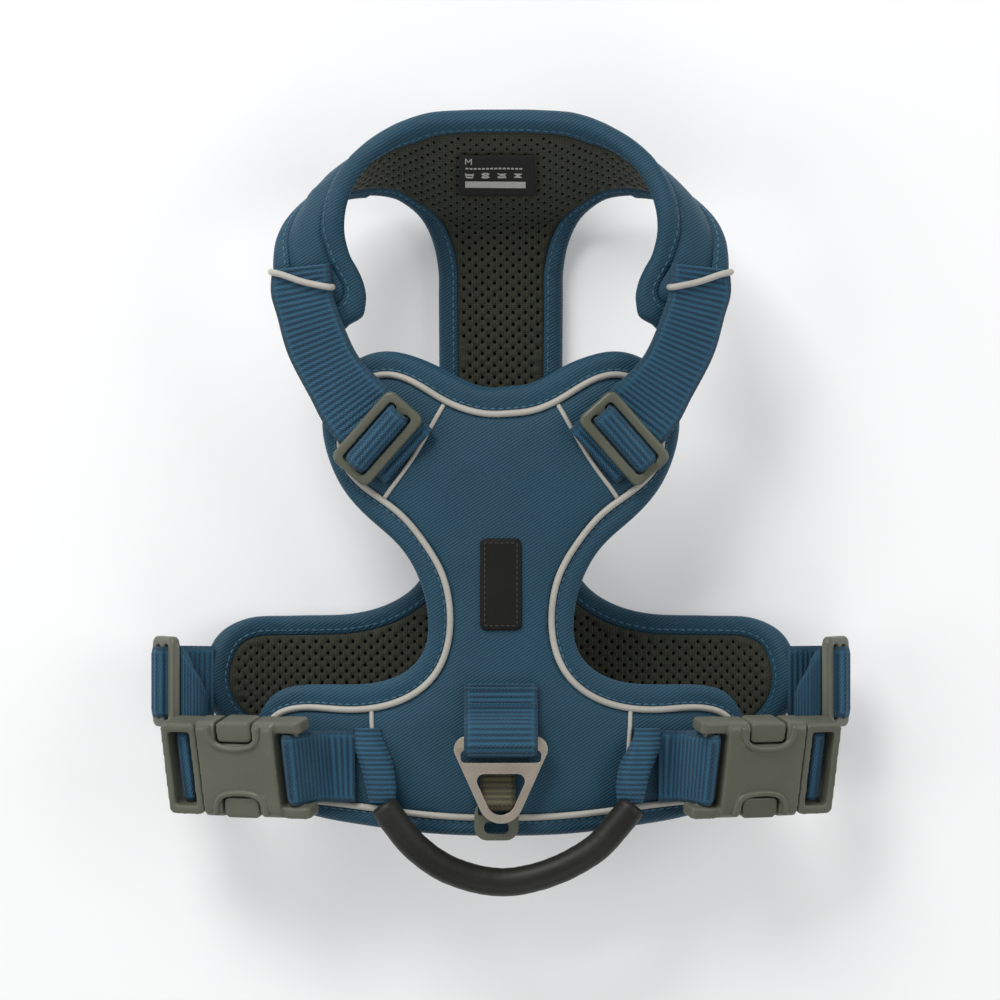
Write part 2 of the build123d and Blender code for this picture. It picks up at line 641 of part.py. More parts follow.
def main():
    """Build every piece and write each to its own file."""
    back_plate()
    blank_patch()
    belly_panel()
    yoke()
    size_label()
    neck_straps()
    buckles()
    girth_straps()
    lead_ring()
    tag_ring()
    chest_ring()
    handle()
    for name, shape in PARTS.items():
        shape.label = name
        export_step(shape, "parts/" + name + ".step")
    whole = Compound(children=list(PARTS.values()))
    box = whole.bounding_box()
    print(len(PARTS), "pieces; box", box.min, box.max)


main()
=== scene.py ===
import json
import logging
import math
from dataclasses import dataclass, field
from enum import Enum
from typing import Callable, Optional, Sequence

import bmesh
import bpy
import numpy as np
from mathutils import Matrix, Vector, geometry, noise

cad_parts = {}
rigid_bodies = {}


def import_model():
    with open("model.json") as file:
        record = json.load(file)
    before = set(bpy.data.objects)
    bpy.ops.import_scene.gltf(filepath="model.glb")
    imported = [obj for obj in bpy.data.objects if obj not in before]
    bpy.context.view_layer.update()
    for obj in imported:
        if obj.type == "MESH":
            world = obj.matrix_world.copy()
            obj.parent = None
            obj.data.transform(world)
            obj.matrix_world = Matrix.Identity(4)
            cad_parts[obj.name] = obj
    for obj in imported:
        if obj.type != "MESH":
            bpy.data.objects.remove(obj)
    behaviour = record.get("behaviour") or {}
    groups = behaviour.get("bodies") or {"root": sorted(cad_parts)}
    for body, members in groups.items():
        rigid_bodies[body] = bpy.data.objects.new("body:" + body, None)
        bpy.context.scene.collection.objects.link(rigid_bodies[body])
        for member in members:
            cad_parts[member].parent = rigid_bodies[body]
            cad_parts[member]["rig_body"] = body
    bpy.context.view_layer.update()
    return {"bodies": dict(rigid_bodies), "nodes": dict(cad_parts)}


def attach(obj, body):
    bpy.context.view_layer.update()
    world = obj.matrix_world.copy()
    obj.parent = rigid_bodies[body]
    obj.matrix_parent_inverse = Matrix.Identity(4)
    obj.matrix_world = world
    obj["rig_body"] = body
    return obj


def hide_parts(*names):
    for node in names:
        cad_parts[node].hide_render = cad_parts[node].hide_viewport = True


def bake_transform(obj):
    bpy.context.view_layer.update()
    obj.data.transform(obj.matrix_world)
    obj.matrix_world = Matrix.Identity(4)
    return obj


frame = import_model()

LOG = logging.getLogger("harness")
MM = 0.001
LAID_WIDTH = 24.4 * MM
STRAP_THICK = 1.4 * MM
HANDLE_SHIFT = 4.0
Point = tuple[float, float]


class Side(Enum):
    """Which half of the harness a piece is on, with the sign of its X."""

    LEFT = ("left", 1.0)
    RIGHT = ("right", -1.0)

    @property
    def word(self) -> str:
        """The side's name, as node and body names end in it."""
        return self.value[0]

    @property
    def sign(self) -> float:
        """1 on the side that pieces are drawn on, -1 on the mirrored one."""
        return self.value[1]


# ------------------------------------------------------------------ finishes
class NodeSheet:
    """A material being written: a thin helper over its node tree."""

    def __init__(self, name: str) -> None:
        """Start a material.

        Args:
            name: the material's name.
        """
        self.material = bpy.data.materials.new(name)
        self.material.use_nodes = True
        self.tree = self.material.node_tree
        self.shader = self.tree.nodes["Principled BSDF"]

    def node(self, kind: str, **settings: object) -> bpy.types.Node:
        """Add a node.

        Args:
            kind: the node's type name.
            settings: its properties, or its input values under in_0, in_1 and so on.

        Returns:
            The new node.
        """
        made = self.tree.nodes.new(kind)
        for key, value in settings.items():
            if key.startswith("in_"):
                made.inputs[int(key[3:])].default_value = value
            else:
                setattr(made, key, value)
        return made

    def link(self, source: bpy.types.NodeSocket, target: bpy.types.NodeSocket) -> None:
        """Join two sockets."""
        self.tree.links.new(source, target)

    def coords(self, uv: bool = False) -> bpy.types.NodeSocket:
        """Object coordinates, or the piece's own UV map in metres."""
        if uv:
            return self.node("ShaderNodeUVMap", uv_map="cloth").outputs[0]
        return self.node("ShaderNodeTexCoord").outputs["Object"]

    def math(self, how: str, first: object, second: object = 0.0) -> bpy.types.NodeSocket:
        """One arithmetic step.

        Args:
            how: the operation's name.
            first: a socket or a number.
            second: a socket or a number.

        Returns:
            The result's socket.
        """
        made = self.node("ShaderNodeMath", operation=how)
        for spot, value in enumerate((first, second)):
            if isinstance(value, bpy.types.NodeSocket):
                self.link(value, made.inputs[spot])
            else:
                made.inputs[spot].default_value = value
        return made.outputs[0]

    def noise(self, coords: bpy.types.NodeSocket, scale: float, detail: float = 3.0) -> bpy.types.NodeSocket:
        """Fractal noise from 0 to 1."""
        made = self.node("ShaderNodeTexNoise")
        made.inputs["Scale"].default_value = scale
        made.inputs["Detail"].default_value = detail
        self.link(coords, made.inputs["Vector"])
        return made.outputs["Fac"]

    def wave(self, coords: bpy.types.NodeSocket, scale: float, turn: float) -> bpy.types.NodeSocket:
        """Parallel ridges from 0 to 1.

        Args:
            coords: where the pattern is read.
            scale: ridges for each metre, over pi.
            turn: the pattern's turn about Z, in degrees.

        Returns:
            The ridges' socket.
        """
        mapping = self.node("ShaderNodeMapping")
        mapping.inputs["Rotation"].default_value = (0.0, 0.0, math.radians(turn))
        self.link(coords, mapping.inputs["Vector"])
        made = self.node("ShaderNodeTexWave", bands_direction="X")
        made.inputs["Scale"].default_value = scale
        made.inputs["Distortion"].default_value = 0.6
        made.inputs["Detail Scale"].default_value = 2.0
        self.link(mapping.outputs[0], made.inputs["Vector"])
        return made.outputs["Fac"]

    def ramp(self, factor: bpy.types.NodeSocket, low: Sequence[float], high: Sequence[float],
             start: float = 0.0, end: float = 1.0) -> bpy.types.NodeSocket:
        """A colour between two, by a factor."""
        made = self.node("ShaderNodeValToRGB")
        made.color_ramp.elements[0].position = start
        made.color_ramp.elements[1].position = end
        made.color_ramp.elements[0].color = (*low, 1.0)
        made.color_ramp.elements[1].color = (*high, 1.0)
        self.link(factor, made.inputs[0])
        return made.outputs[0]

    def bump(self, height: bpy.types.NodeSocket, depth: float, strength: float = 1.0) -> None:
        """Drive the shader's normal by a height, whose full depth is in metres."""
        made = self.node("ShaderNodeBump")
        made.inputs["Strength"].default_value = strength
        made.inputs["Distance"].default_value = depth
        self.link(height, made.inputs["Height"])
        self.link(made.outputs[0], self.shader.inputs["Normal"])

    def set(self, **values: object) -> None:
        """Set plain values on the shader's own sockets, by name with spaces as underscores."""
        for key, value in values.items():
            self.shader.inputs[key.replace("_", " ")].default_value = value


@dataclass(frozen=True)
class TwillFinish:
    """Coated polyester twill: fine diagonal ribs, a little sheen, uneven dye."""

    name: str = "dark_teal_twill"
    shade: tuple[float, float, float] = (0.004, 0.026, 0.050)
    light: tuple[float, float, float] = (0.017, 0.082, 0.128)
    rib_scale: float = 330.0

    def build(self) -> bpy.types.Material:
        """Write the material."""
        sheet = NodeSheet(self.name)
        place = sheet.coords()
        rib = sheet.wave(place, self.rib_scale, 58.0)
        thread = sheet.wave(place, self.rib_scale * 1.45, -24.0)
        blotch = sheet.noise(place, 28.0, 4.0)
        fuzz = sheet.noise(place, 2600.0, 2.0)
        weave = sheet.math("MULTIPLY_ADD", thread, 0.3)
        sheet.link(sheet.math("MULTIPLY", rib, 0.7), weave.node.inputs[2])
        tone = sheet.math("ADD", sheet.math("MULTIPLY", weave, 0.62), sheet.math("MULTIPLY", blotch, 0.24))
        tone = sheet.math("ADD", tone, sheet.math("MULTIPLY", fuzz, 0.16))
        sheet.link(sheet.ramp(tone, self.shade, self.light, 0.18, 0.86), sheet.shader.inputs["Base Color"])
        rough = sheet.math("MULTIPLY_ADD", blotch, 0.14)
        rough.node.inputs[2].default_value = 0.50
        sheet.link(rough, sheet.shader.inputs["Roughness"])
        sheet.bump(weave, 0.0002, 0.8)
        sheet.set(Sheen_Weight=0.10, Sheen_Roughness=0.42, Sheen_Tint=(0.45, 0.72, 1.0, 1.0),
                  Specular_IOR_Level=0.30)
        return sheet.material


@dataclass(frozen=True)
class WebbingFinish:
    """Woven strap: yarns across the ribs, read from the strap's own UV map."""

    name: str
    shade: tuple[float, float, float]
    light: tuple[float, float, float]
    yarn_scale: float = 480.0

    def build(self) -> bpy.types.Material:
        """Woven strap: yarns across the ribs, read from the strap's own UV map, with each rib painted lighter
        at its crest and darker in its trough, a painted highlight and shade.
        """
        sheet = NodeSheet(self.name)
        place = sheet.coords(uv=True)
        yarn = sheet.wave(place, self.yarn_scale, 24.0)
        cross = sheet.wave(place, self.yarn_scale * 0.9, -28.0)
        blotch = sheet.noise(place, 60.0, 3.0)
        height = sheet.math("MAXIMUM", yarn, cross)
        ridge = sheet.node("ShaderNodeAttribute", attribute_name="ridge").outputs["Fac"]
        tone = sheet.math("ADD", sheet.math("MULTIPLY", height, 0.28), sheet.math("MULTIPLY", blotch, 0.22))
        # Painted highlight and shade: the ridge attribute paints each rib lighter at its crest and darker in
        # its trough.
        tone = sheet.math("ADD", tone, sheet.math("MULTIPLY", ridge, 0.50))
        sheet.link(sheet.ramp(tone, self.shade, self.light, 0.25, 0.92), sheet.shader.inputs["Base Color"])
        sheet.bump(height, 0.00022, 0.9)
        sheet.set(Roughness=0.55, Sheen_Weight=0.08, Sheen_Roughness=0.4, Specular_IOR_Level=0.35)
        return sheet.material


@dataclass(frozen=True)
class KnitFinish:
    """Spacer-mesh lining and foam: a soft knit with faint courses."""

    name: str
    shade: tuple[float, float, float]
    light: tuple[float, float, float]
    course_scale: float = 330.0

    def build(self) -> bpy.types.Material:
        """Write the material."""
        sheet = NodeSheet(self.name)
        place = sheet.coords()
        course = sheet.wave(place, self.course_scale, 0.0)
        wale = sheet.wave(place, self.course_scale * 1.3, 90.0)
        fuzz = sheet.noise(place, 900.0, 3.0)
        knit = sheet.math("MULTIPLY", course, wale)
        tone = sheet.math("ADD", sheet.math("MULTIPLY", knit, 0.5), sheet.math("MULTIPLY", fuzz, 0.5))
        sheet.link(sheet.ramp(tone, self.shade, self.light, 0.15, 0.8), sheet.shader.inputs["Base Color"])
        sheet.bump(tone, 0.00015, 0.6)
        sheet.set(Roughness=0.85, Sheen_Weight=0.12, Specular_IOR_Level=0.2)
        return sheet.material


@dataclass(frozen=True)
class SmoothFinish:
    """Plastic, rubber, piping or thread: one colour with fine moulded grain and slight wear."""

    name: str
    shade: tuple[float, float, float]
    light: tuple[float, float, float]
    roughness: float
    grain_scale: float = 2200.0
    grain_depth: float = 0.00003
    specular: float = 0.45
    sheen: float = 0.0

    def build(self) -> bpy.types.Material:
        """Write the material."""
        sheet = NodeSheet(self.name)
        place = sheet.coords()
        grain = sheet.noise(place, self.grain_scale, 2.0)
        cloud = sheet.noise(place, 45.0, 5.0)
        tone = sheet.math("ADD", sheet.math("MULTIPLY", grain, 0.35), sheet.math("MULTIPLY", cloud, 0.65))
        sheet.link(sheet.ramp(tone, self.shade, self.light, 0.3, 0.75), sheet.shader.inputs["Base Color"])
        rough = sheet.math("MULTIPLY_ADD", cloud, 0.16)
        rough.node.inputs[2].default_value = self.roughness - 0.08
        sheet.link(rough, sheet.shader.inputs["Roughness"])
        sheet.bump(grain, self.grain_depth, 0.5)
        sheet.set(Specular_IOR_Level=self.specular, Sheen_Weight=self.sheen)
        return sheet.material


@dataclass(frozen=True)
class MetalFinish:
    """Anodised metal with fine brushing along one direction."""

    name: str = "champagne_metal"
    shade: tuple[float, float, float] = (0.48, 0.41, 0.33)
    light: tuple[float, float, float] = (0.84, 0.74, 0.61)

    def build(self) -> bpy.types.Material:
        """Write the material."""
        sheet = NodeSheet(self.name)
        mapping = sheet.node("ShaderNodeMapping")
        mapping.inputs["Scale"].default_value = (1.0, 14.0, 14.0)
        sheet.link(sheet.coords(), mapping.inputs["Vector"])
        brushed = sheet.noise(mapping.outputs[0], 900.0, 4.0)
        cloud = sheet.noise(sheet.coords(), 90.0, 3.0)
        tone = sheet.math("ADD", sheet.math("MULTIPLY", brushed, 0.6), sheet.math("MULTIPLY", cloud, 0.4))
        sheet.link(sheet.ramp(tone, self.shade, self.light, 0.25, 0.75), sheet.shader.inputs["Base Color"])
        rough = sheet.math("MULTIPLY_ADD", brushed, 0.16)
        rough.node.inputs[2].default_value = 0.30
        sheet.link(rough, sheet.shader.inputs["Roughness"])
        sheet.bump(brushed, 0.00002, 0.4)
        sheet.set(Metallic=1.0)
        return sheet.material


@dataclass
class Wardrobe:
    """Every finish, written once and shared by the pieces."""

    twill: bpy.types.Material = field(default_factory=lambda: TwillFinish().build())
    webbing: bpy.types.Material = field(default_factory=lambda: WebbingFinish(
        "dark_teal_webbing", (0.0028, 0.020, 0.042), (0.026, 0.122, 0.205)).build())
    tape: bpy.types.Material = field(default_factory=lambda: WebbingFinish(
        "khaki_tape", (0.045, 0.042, 0.024), (0.16, 0.145, 0.085)).build())
    lining: bpy.types.Material = field(default_factory=lambda: KnitFinish(
        "olive_spacer_mesh", (0.021, 0.023, 0.015), (0.056, 0.059, 0.041)).build())
    foam: bpy.types.Material = field(default_factory=lambda: KnitFinish(
        "charcoal_foam", (0.0025, 0.0028, 0.002), (0.006, 0.006, 0.005)).build())
    piping: bpy.types.Material = field(default_factory=lambda: SmoothFinish(
        "reflective_piping", (0.33, 0.315, 0.275), (0.50, 0.48, 0.42),
        0.5, 1800.0, 0.00006, 0.4, 0.2).build())
    thread: bpy.types.Material = field(default_factory=lambda: SmoothFinish(
        "blue_thread", (0.010, 0.062, 0.125), (0.045, 0.17, 0.25), 0.5, 3000.0, 0.00004, 0.4, 0.3).build())
    plastic: bpy.types.Material = field(default_factory=lambda: SmoothFinish(
        "olive_acetal", (0.088, 0.092, 0.066), (0.125, 0.129, 0.094), 0.40, 2600.0, 0.00003, 0.4).build())
    rubber: bpy.types.Material = field(default_factory=lambda: SmoothFinish(
        "black_rubber", (0.010, 0.0103, 0.0082), (0.020, 0.0205, 0.0165), 0.50, 1500.0, 0.00004, 0.3).build())
    patch: bpy.types.Material = field(default_factory=lambda: SmoothFinish(
        "black_patch", (0.005, 0.0052, 0.004), (0.011, 0.0108, 0.0088), 0.66, 1100.0, 0.00012, 0.2).build())
    dark_thread: bpy.types.Material = field(default_factory=lambda: SmoothFinish(
        "black_thread", (0.018, 0.017, 0.014), (0.04, 0.038, 0.032), 0.5, 3000.0, 0.00003).build())
    label: bpy.types.Material = field(default_factory=lambda: SmoothFinish(
        "woven_black_label", (0.010, 0.010, 0.009), (0.020, 0.020, 0.018),
        0.7, 1500.0, 0.00008, 0.25).build())
    print_grey: bpy.types.Material = field(default_factory=lambda: SmoothFinish(
        "woven_grey_marks", (0.36, 0.36, 0.34), (0.52, 0.52, 0.49), 0.7, 1500.0, 0.00005, 0.25).build())
    metal: bpy.types.Material = field(default_factory=lambda: MetalFinish().build())


# ------------------------------------------------------------------ mesh helpers
def new_piece(name: str, points: Sequence[Sequence[float]], faces: Sequence[Sequence[int]],
              material: bpy.types.Material, smooth: bool = True) -> bpy.types.Object:
    """Make a mesh object at the origin.

    Args:
        name: the piece's name.
        points: its vertices, in metres.
        faces: its faces, as vertex numbers.
        material: its finish.
        smooth: whether its faces are shaded smooth.

    Returns:
        The new object, in the scene.
    """
    mesh = bpy.data.meshes.new(name)
    mesh.from_pydata([tuple(p) for p in points], [], [tuple(f) for f in faces])
    mesh.materials.append(material)
    mesh.validate()
    if smooth:
        mesh.shade_smooth()
    piece = bpy.data.objects.new(name, mesh)
    bpy.context.scene.collection.objects.link(piece)
    return piece


def outward(piece: bpy.types.Object) -> None:
    """Turn a closed piece's faces so that they point outwards."""
    mesh = bmesh.new()
    mesh.from_mesh(piece.data)
    bmesh.ops.recalc_face_normals(mesh, faces=mesh.faces)
    mesh.to_mesh(piece.data)
    mesh.free()


def settle(piece: bpy.types.Object) -> None:
    """Turn a piece's modifiers into plain mesh."""
    graph = bpy.context.evaluated_depsgraph_get()
    graph.update()
    done = bpy.data.meshes.new_from_object(piece.evaluated_get(graph), depsgraph=graph)
    if piece.type == "MESH":
        piece.modifiers.clear()
        old = piece.data
        piece.data = done
        bpy.data.meshes.remove(old)


def mirrored(piece: bpy.types.Object, name: str) -> bpy.types.Object:
    """The same piece on the other side of the harness.

    Args:
        piece: the left piece.
        name: the new piece's name.

    Returns:
        The right piece, with its faces outwards.
    """
    twin = piece.copy()
    twin.data = piece.data.copy()
    twin.name = name
    for vertex in twin.data.vertices:
        vertex.co.x = -vertex.co.x
    twin.data.flip_normals()
    bpy.context.scene.collection.objects.link(twin)
    return twin


def dress(piece: bpy.types.Object, body: str, slot: str, *nodes: str, soft: Optional[float] = None) -> None:
    """Say what a finished piece rides on and stands for.

    Args:
        piece: the finished piece.
        body: the body that it rides on.
        slot: the record's material slot; not used.
        nodes: the nodes that it stands for.
        soft: how full it is, if it is a padded piece; not used.
    """
    piece.name = piece.name.replace(".", "_")
    if piece.get("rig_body") is None:
        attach(piece, body)
    if nodes:
        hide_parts(*nodes)
    LOG.info("%s: %d faces, on %s", piece.name, len(piece.data.polygons), body)


def smoothstep(value: float) -> float:
    """A soft ramp from 0 to 1."""
    value = min(max(value, 0.0), 1.0)
    return value * value * (3.0 - 2.0 * value)


def spline_through(points: Sequence[Vector], step: float, closed: bool = False) -> list[Vector]:
    """A smooth line through points, evenly spaced.

    Args:
        points: the points to pass through.
        step: the spacing of the result.
        closed: whether the line joins up.

    Returns:
        Points along the line.
    """
    count = len(points)
    dense = []
    spans = count if closed else count - 1
    for i in range(spans):
        if closed:
            a, b, c, d = (points[(i + k - 1) % count] for k in range(4))
        else:
            b, c = points[i], points[i + 1]
            a = points[i - 1] if i > 0 else b + (b - c)
            d = points[i + 2] if i + 2 < count else c + (c - b)
        for k in range(12):
            t = k / 12.0
            dense.append(0.5 * ((2 * b) + (c - a) * t + (2 * a - 5 * b + 4 * c - d) * t * t
                                + (3 * b - a - 3 * c + d) * t ** 3))
    dense.append(points[0].copy() if closed else points[-1].copy())
    return evenly(dense, step, closed)


def evenly(line: Sequence[Vector], step: float, closed: bool = False) -> list[Vector]:
    """Points spaced evenly along a line. A closed line's first point isn't repeated at its end."""
    reach = [0.0]
    for a, b in zip(line, line[1:]):
        reach.append(reach[-1] + (b - a).length)
    count = max(int(round(reach[-1] / step)), 2)
    found = []
    spot = 0
    for k in range(count if closed else count + 1):
        want = reach[-1] * k / count
        while spot < len(line) - 2 and reach[spot + 1] < want:
            spot += 1
        span = reach[spot + 1] - reach[spot]
        share = (want - reach[spot]) / span if span > 0 else 0.0
        found.append(line[spot].lerp(line[spot + 1], min(max(share, 0.0), 1.0)))
    return found


def rim_loop(node: str, upper: bool = True) -> list[Vector]:
    """The longest edge loop where a node's top, or its bottom, meets its sides.

    Args:
        node: the CAD node's name.
        upper: whether it is the top's edge.

    Returns:
        The loop's points in order, in metres, counter-clockwise seen from above.
    """
    mesh = bmesh.new()
    mesh.from_mesh(frame["nodes"][node].data)
    bmesh.ops.remove_doubles(mesh, verts=mesh.verts, dist=2e-6)
    sign = 1.0 if upper else -1.0
    joined: dict[int, list[int]] = {}
    for edge in mesh.edges:
        if len(edge.link_faces) != 2:
            continue
        flat = [face.normal.z * sign > 0.35 for face in edge.link_faces]
        if flat[0] != flat[1]:
            a, b = (v.index for v in edge.verts)
            joined.setdefault(a, []).append(b)
            joined.setdefault(b, []).append(a)
    mesh.verts.ensure_lookup_table()
    best: list[Vector] = []
    left = set(joined)
    while left:
        start = min(left)
        chain = [start]
        left.discard(start)
        while True:
            ahead = [n for n in joined[chain[-1]] if n in left]
            if not ahead:
                break
            chain.append(ahead[0])
            left.discard(ahead[0])
        loop = [mesh.verts[i].co.copy() for i in chain]
        if path_length(loop) > path_length(best):
            best = loop
    mesh.free()
    area = sum(a.x * b.y - b.x * a.y for a, b in zip(best, best[1:] + best[:1]))
    return best if area > 0 else best[::-1]


def path_length(line: Sequence[Vector]) -> float:
    """A line's length."""
    return sum((b - a).length for a, b in zip(line, line[1:]))


def flat(line: Sequence[Vector]) -> list[Vector]:
    """A line laid flat on the ground."""
    return [Vector((p.x, p.y, 0.0)) for p in line]


def inside(points: np.ndarray, loop: np.ndarray) -> np.ndarray:
    """Which points are inside a closed loop, by the even-odd rule."""
    ax, ay = loop[:, 0], loop[:, 1]
    bx, by = np.roll(ax, -1), np.roll(ay, -1)
    found = np.zeros(len(points), bool)
    for start in range(0, len(points), 4000):
        px = points[start:start + 4000, 0][:, None]
        py = points[start:start + 4000, 1][:, None]
        spans = (ay > py) != (by > py)
        rise = np.where(by == ay, 1e-12, by - ay)
        hits = spans & (px < (bx - ax) * (py - ay) / rise + ax)
        found[start:start + 4000] = hits.sum(1) % 2 == 1
    return found


def distance_to(points: np.ndarray, loop: np.ndarray) -> np.ndarray:
    """Each point's distance to the nearest point of a dense line."""
    found = np.zeros(len(points))
    for start in range(0, len(points), 2000):
        part = points[start:start + 2000]
        found[start:start + 2000] = np.sqrt(((part[:, None] - loop[None]) ** 2).sum(2)).min(1)
    return found


def plan(line: Sequence[Vector]) -> np.ndarray:
    """A line's X and Y, as an array."""
    return np.array([(p.x, p.y) for p in line])


def inset(line: Sequence[Vector], distance: float) -> list[Vector]:
    """A closed counter-clockwise line drawn in by a distance, in plan, with its height kept."""
    count = len(line)
    moved = []
    for i in range(count):
        along = line[(i + 2) % count] - line[i - 2]
        along.z = 0.0
        along.normalize()
        moved.append(line[i] + Vector((-along.y, along.x, 0.0)) * distance)
    return moved


def tube(name: str, line: Sequence[Vector], radius: float, material: bpy.types.Material,
         closed: bool = False, sides: int = 10) -> bpy.types.Object:
    """A round bead along a line.

    Args:
        name: the piece's name.
        line: its middle line.
        radius: its radius.
        material: its finish.
        closed: whether the line joins up.
        sides: how many sides it has round it.

    Returns:
        The new piece.
    """
    points, faces = [], []
    count = len(line)
    for i in range(count):
        ahead = line[(i + 1) % count] if closed or i + 1 < count else line[i]
        behind = line[i - 1] if closed or i > 0 else line[i]
        along = (ahead - behind).normalized()
        across = along.cross(Vector((0.0, 0.0, 1.0))).normalized()
        rise = across.cross(along)
        for k in range(sides):
            turn = 2 * math.pi * k / sides
            points.append(line[i] + (across * math.cos(turn) + rise * math.sin(turn)) * radius)
    for i in range(count if closed else count - 1):
        for k in range(sides):
            a = i * sides + k
            b = i * sides + (k + 1) % sides
            c = (a + sides) % len(points)
            d = (b + sides) % len(points)
            faces.append((a, b, d, c))
    if not closed:
        faces.append(tuple(range(sides))[::-1])
        faces.append(tuple(range(len(points) - sides, len(points))))
    piece = new_piece(name, points, faces, material)
    outward(piece)
    return piece


# ------------------------------------------------------------------ stitches
@dataclass(frozen=True)
class StitchRow:
    """A row of thread dashes along a line, made by a node tree.

    Attributes:
        name: the piece's name.
        line: the line that the thread follows, on the cloth's surface.
        pitch: from one stitch to the next.
        dash: one stitch's length.
        radius: the thread's radius.
        closed: whether the line joins up.
        swing: how far each stitch turns from the line, for a zigzag, in degrees.
    """

    name: str
    line: list[Vector]
    pitch: float = 2.7 * MM
    dash: float = 2.05 * MM
    radius: float = 0.30 * MM
    closed: bool = False
    swing: float = 0.0

    def build(self, material: bpy.types.Material) -> bpy.types.Object:
        """Run the node tree on the line and keep its mesh.

        Args:
            material: the thread's finish.

        Returns:
            The row, as a plain mesh.
        """
        mesh = bpy.data.meshes.new(self.name)
        edges = [(i, i + 1) for i in range(len(self.line) - 1)]
        if self.closed:
            edges.append((len(self.line) - 1, 0))
        mesh.from_pydata([tuple(p) for p in self.line], edges, [])
        row = bpy.data.objects.new(self.name, mesh)
        bpy.context.scene.collection.objects.link(row)
        tree = stitch_tree(material)
        run = row.modifiers.new("stitches", "NODES")
        run.node_group = tree
        wanted = {"Pitch": self.pitch, "Dash": self.dash, "Radius": self.radius,
                  "Swing": math.radians(self.swing)}
        for item in tree.interface.items_tree:
            if item.name in wanted and item.in_out == "INPUT":
                run[item.identifier] = wanted[item.name]
        settle(row)
        row.data.shade_smooth()
        return row


def stitch_tree(material: bpy.types.Material) -> bpy.types.NodeTree:
    """The node tree that lays one dash at each step of a line.

    Args:
        material: the thread's finish.

    Returns:
        The tree, with inputs for the pitch, dash, radius and swing.
    """
    name = "stitches_" + material.name
    if name in bpy.data.node_groups:
        return bpy.data.node_groups[name]
    tree = bpy.data.node_groups.new(name, "GeometryNodeTree")
    tree.interface.new_socket("Geometry", in_out="INPUT", socket_type="NodeSocketGeometry")
    for label, value in (("Pitch", 0.0027), ("Dash", 0.002), ("Radius", 0.0003), ("Swing", 0.0)):
        made = tree.interface.new_socket(label, in_out="INPUT", socket_type="NodeSocketFloat")
        made.default_value = value
    tree.interface.new_socket("Geometry", in_out="OUTPUT", socket_type="NodeSocketGeometry")
    start = tree.nodes.new("NodeGroupInput")
    end = tree.nodes.new("NodeGroupOutput")
    line = tree.nodes.new("GeometryNodeMeshToCurve")
    spots = tree.nodes.new("GeometryNodeCurveToPoints")
    spots.mode = "LENGTH"
    dash = tree.nodes.new("GeometryNodeMeshUVSphere")
    dash.inputs["Segments"].default_value = 6
    dash.inputs["Rings"].default_value = 5
    dash.inputs["Radius"].default_value = 1.0
    half = tree.nodes.new("ShaderNodeMath")
    half.operation = "MULTIPLY"
    half.inputs[1].default_value = 0.5
    size = tree.nodes.new("ShaderNodeCombineXYZ")
    shape = tree.nodes.new("GeometryNodeTransform")
    parity = tree.nodes.new("ShaderNodeMath")
    parity.operation = "MODULO"
    parity.inputs[1].default_value = 2.0
    index = tree.nodes.new("GeometryNodeInputIndex")
    way = tree.nodes.new("ShaderNodeMath")
    way.operation = "MULTIPLY_ADD"
    way.inputs[1].default_value = 2.0
    way.inputs[2].default_value = -1.0
    angle = tree.nodes.new("ShaderNodeMath")
    angle.operation = "MULTIPLY"
    wander = tree.nodes.new("FunctionNodeRandomValue")
    wander.data_type = "FLOAT"
    wander.inputs[2].default_value = -0.05
    wander.inputs[3].default_value = 0.05
    wander.inputs["Seed"].default_value = 11
    both = tree.nodes.new("ShaderNodeMath")
    both.operation = "ADD"
    turn = tree.nodes.new("ShaderNodeCombineXYZ")
    rotate = tree.nodes.new("FunctionNodeRotateRotation")
    rotate.rotation_space = "LOCAL"
    convert = tree.nodes.new("FunctionNodeEulerToRotation")
    place = tree.nodes.new("GeometryNodeInstanceOnPoints")
    real = tree.nodes.new("GeometryNodeRealizeInstances")
    colour = tree.nodes.new("GeometryNodeSetMaterial")
    colour.inputs["Material"].default_value = material
    pairs = (
        (start.outputs["Geometry"], line.inputs[0]),
        (line.outputs[0], spots.inputs["Curve"]),
        (start.outputs["Pitch"], spots.inputs["Length"]),
        (start.outputs["Dash"], half.inputs[0]),
        (start.outputs["Radius"], size.inputs["X"]),
        (start.outputs["Radius"], size.inputs["Y"]),
        (half.outputs[0], size.inputs["Z"]),
        (dash.outputs["Mesh"], shape.inputs["Geometry"]),
        (size.outputs[0], shape.inputs["Scale"]),
        (index.outputs[0], parity.inputs[0]),
        (parity.outputs[0], way.inputs[0]),
        (way.outputs[0], angle.inputs[0]),
        (start.outputs["Swing"], angle.inputs[1]),
        (angle.outputs[0], both.inputs[0]),
        (wander.outputs[1], both.inputs[1]),
        (both.outputs[0], turn.inputs["X"]),
        (turn.outputs[0], convert.inputs[0]),
        (spots.outputs["Rotation"], rotate.inputs[0]),
        (convert.outputs[0], rotate.inputs[1]),
        (spots.outputs["Points"], place.inputs["Points"]),
        (shape.outputs[0], place.inputs["Instance"]),
        (rotate.outputs[0], place.inputs["Rotation"]),
        (place.outputs[0], real.inputs[0]),
        (real.outputs[0], colour.inputs["Geometry"]),
        (colour.outputs[0], end.inputs[0]),
    )
    for source, target in pairs:
        tree.links.new(source, target)
    return tree


# ------------------------------------------------------------------ webbing
def give_cloth(piece: bpy.types.Object, uvs: Sequence[Point], ridges: Sequence[float]) -> None:
    """Give a strap its UV map in metres and each point's share of a rib's height, which its finish paints as
    highlight on the crests and shade in the troughs.

    Args:
        piece: the strap.
        uvs: each point's place along and across the strap.
        ridges: each point's height on its rib, from 0 to 1, kept as the ridge attribute that the finish turns
            into painted highlight and shade.
    """
    layer = piece.data.uv_layers.new(name="cloth")
    for loop in piece.data.loops:
        layer.data[loop.index].uv = uvs[loop.vertex_index]
    attribute = piece.data.attributes.new("ridge", "FLOAT", "POINT")
    attribute.data.foreach_set("value", ridges)
    outward(piece)


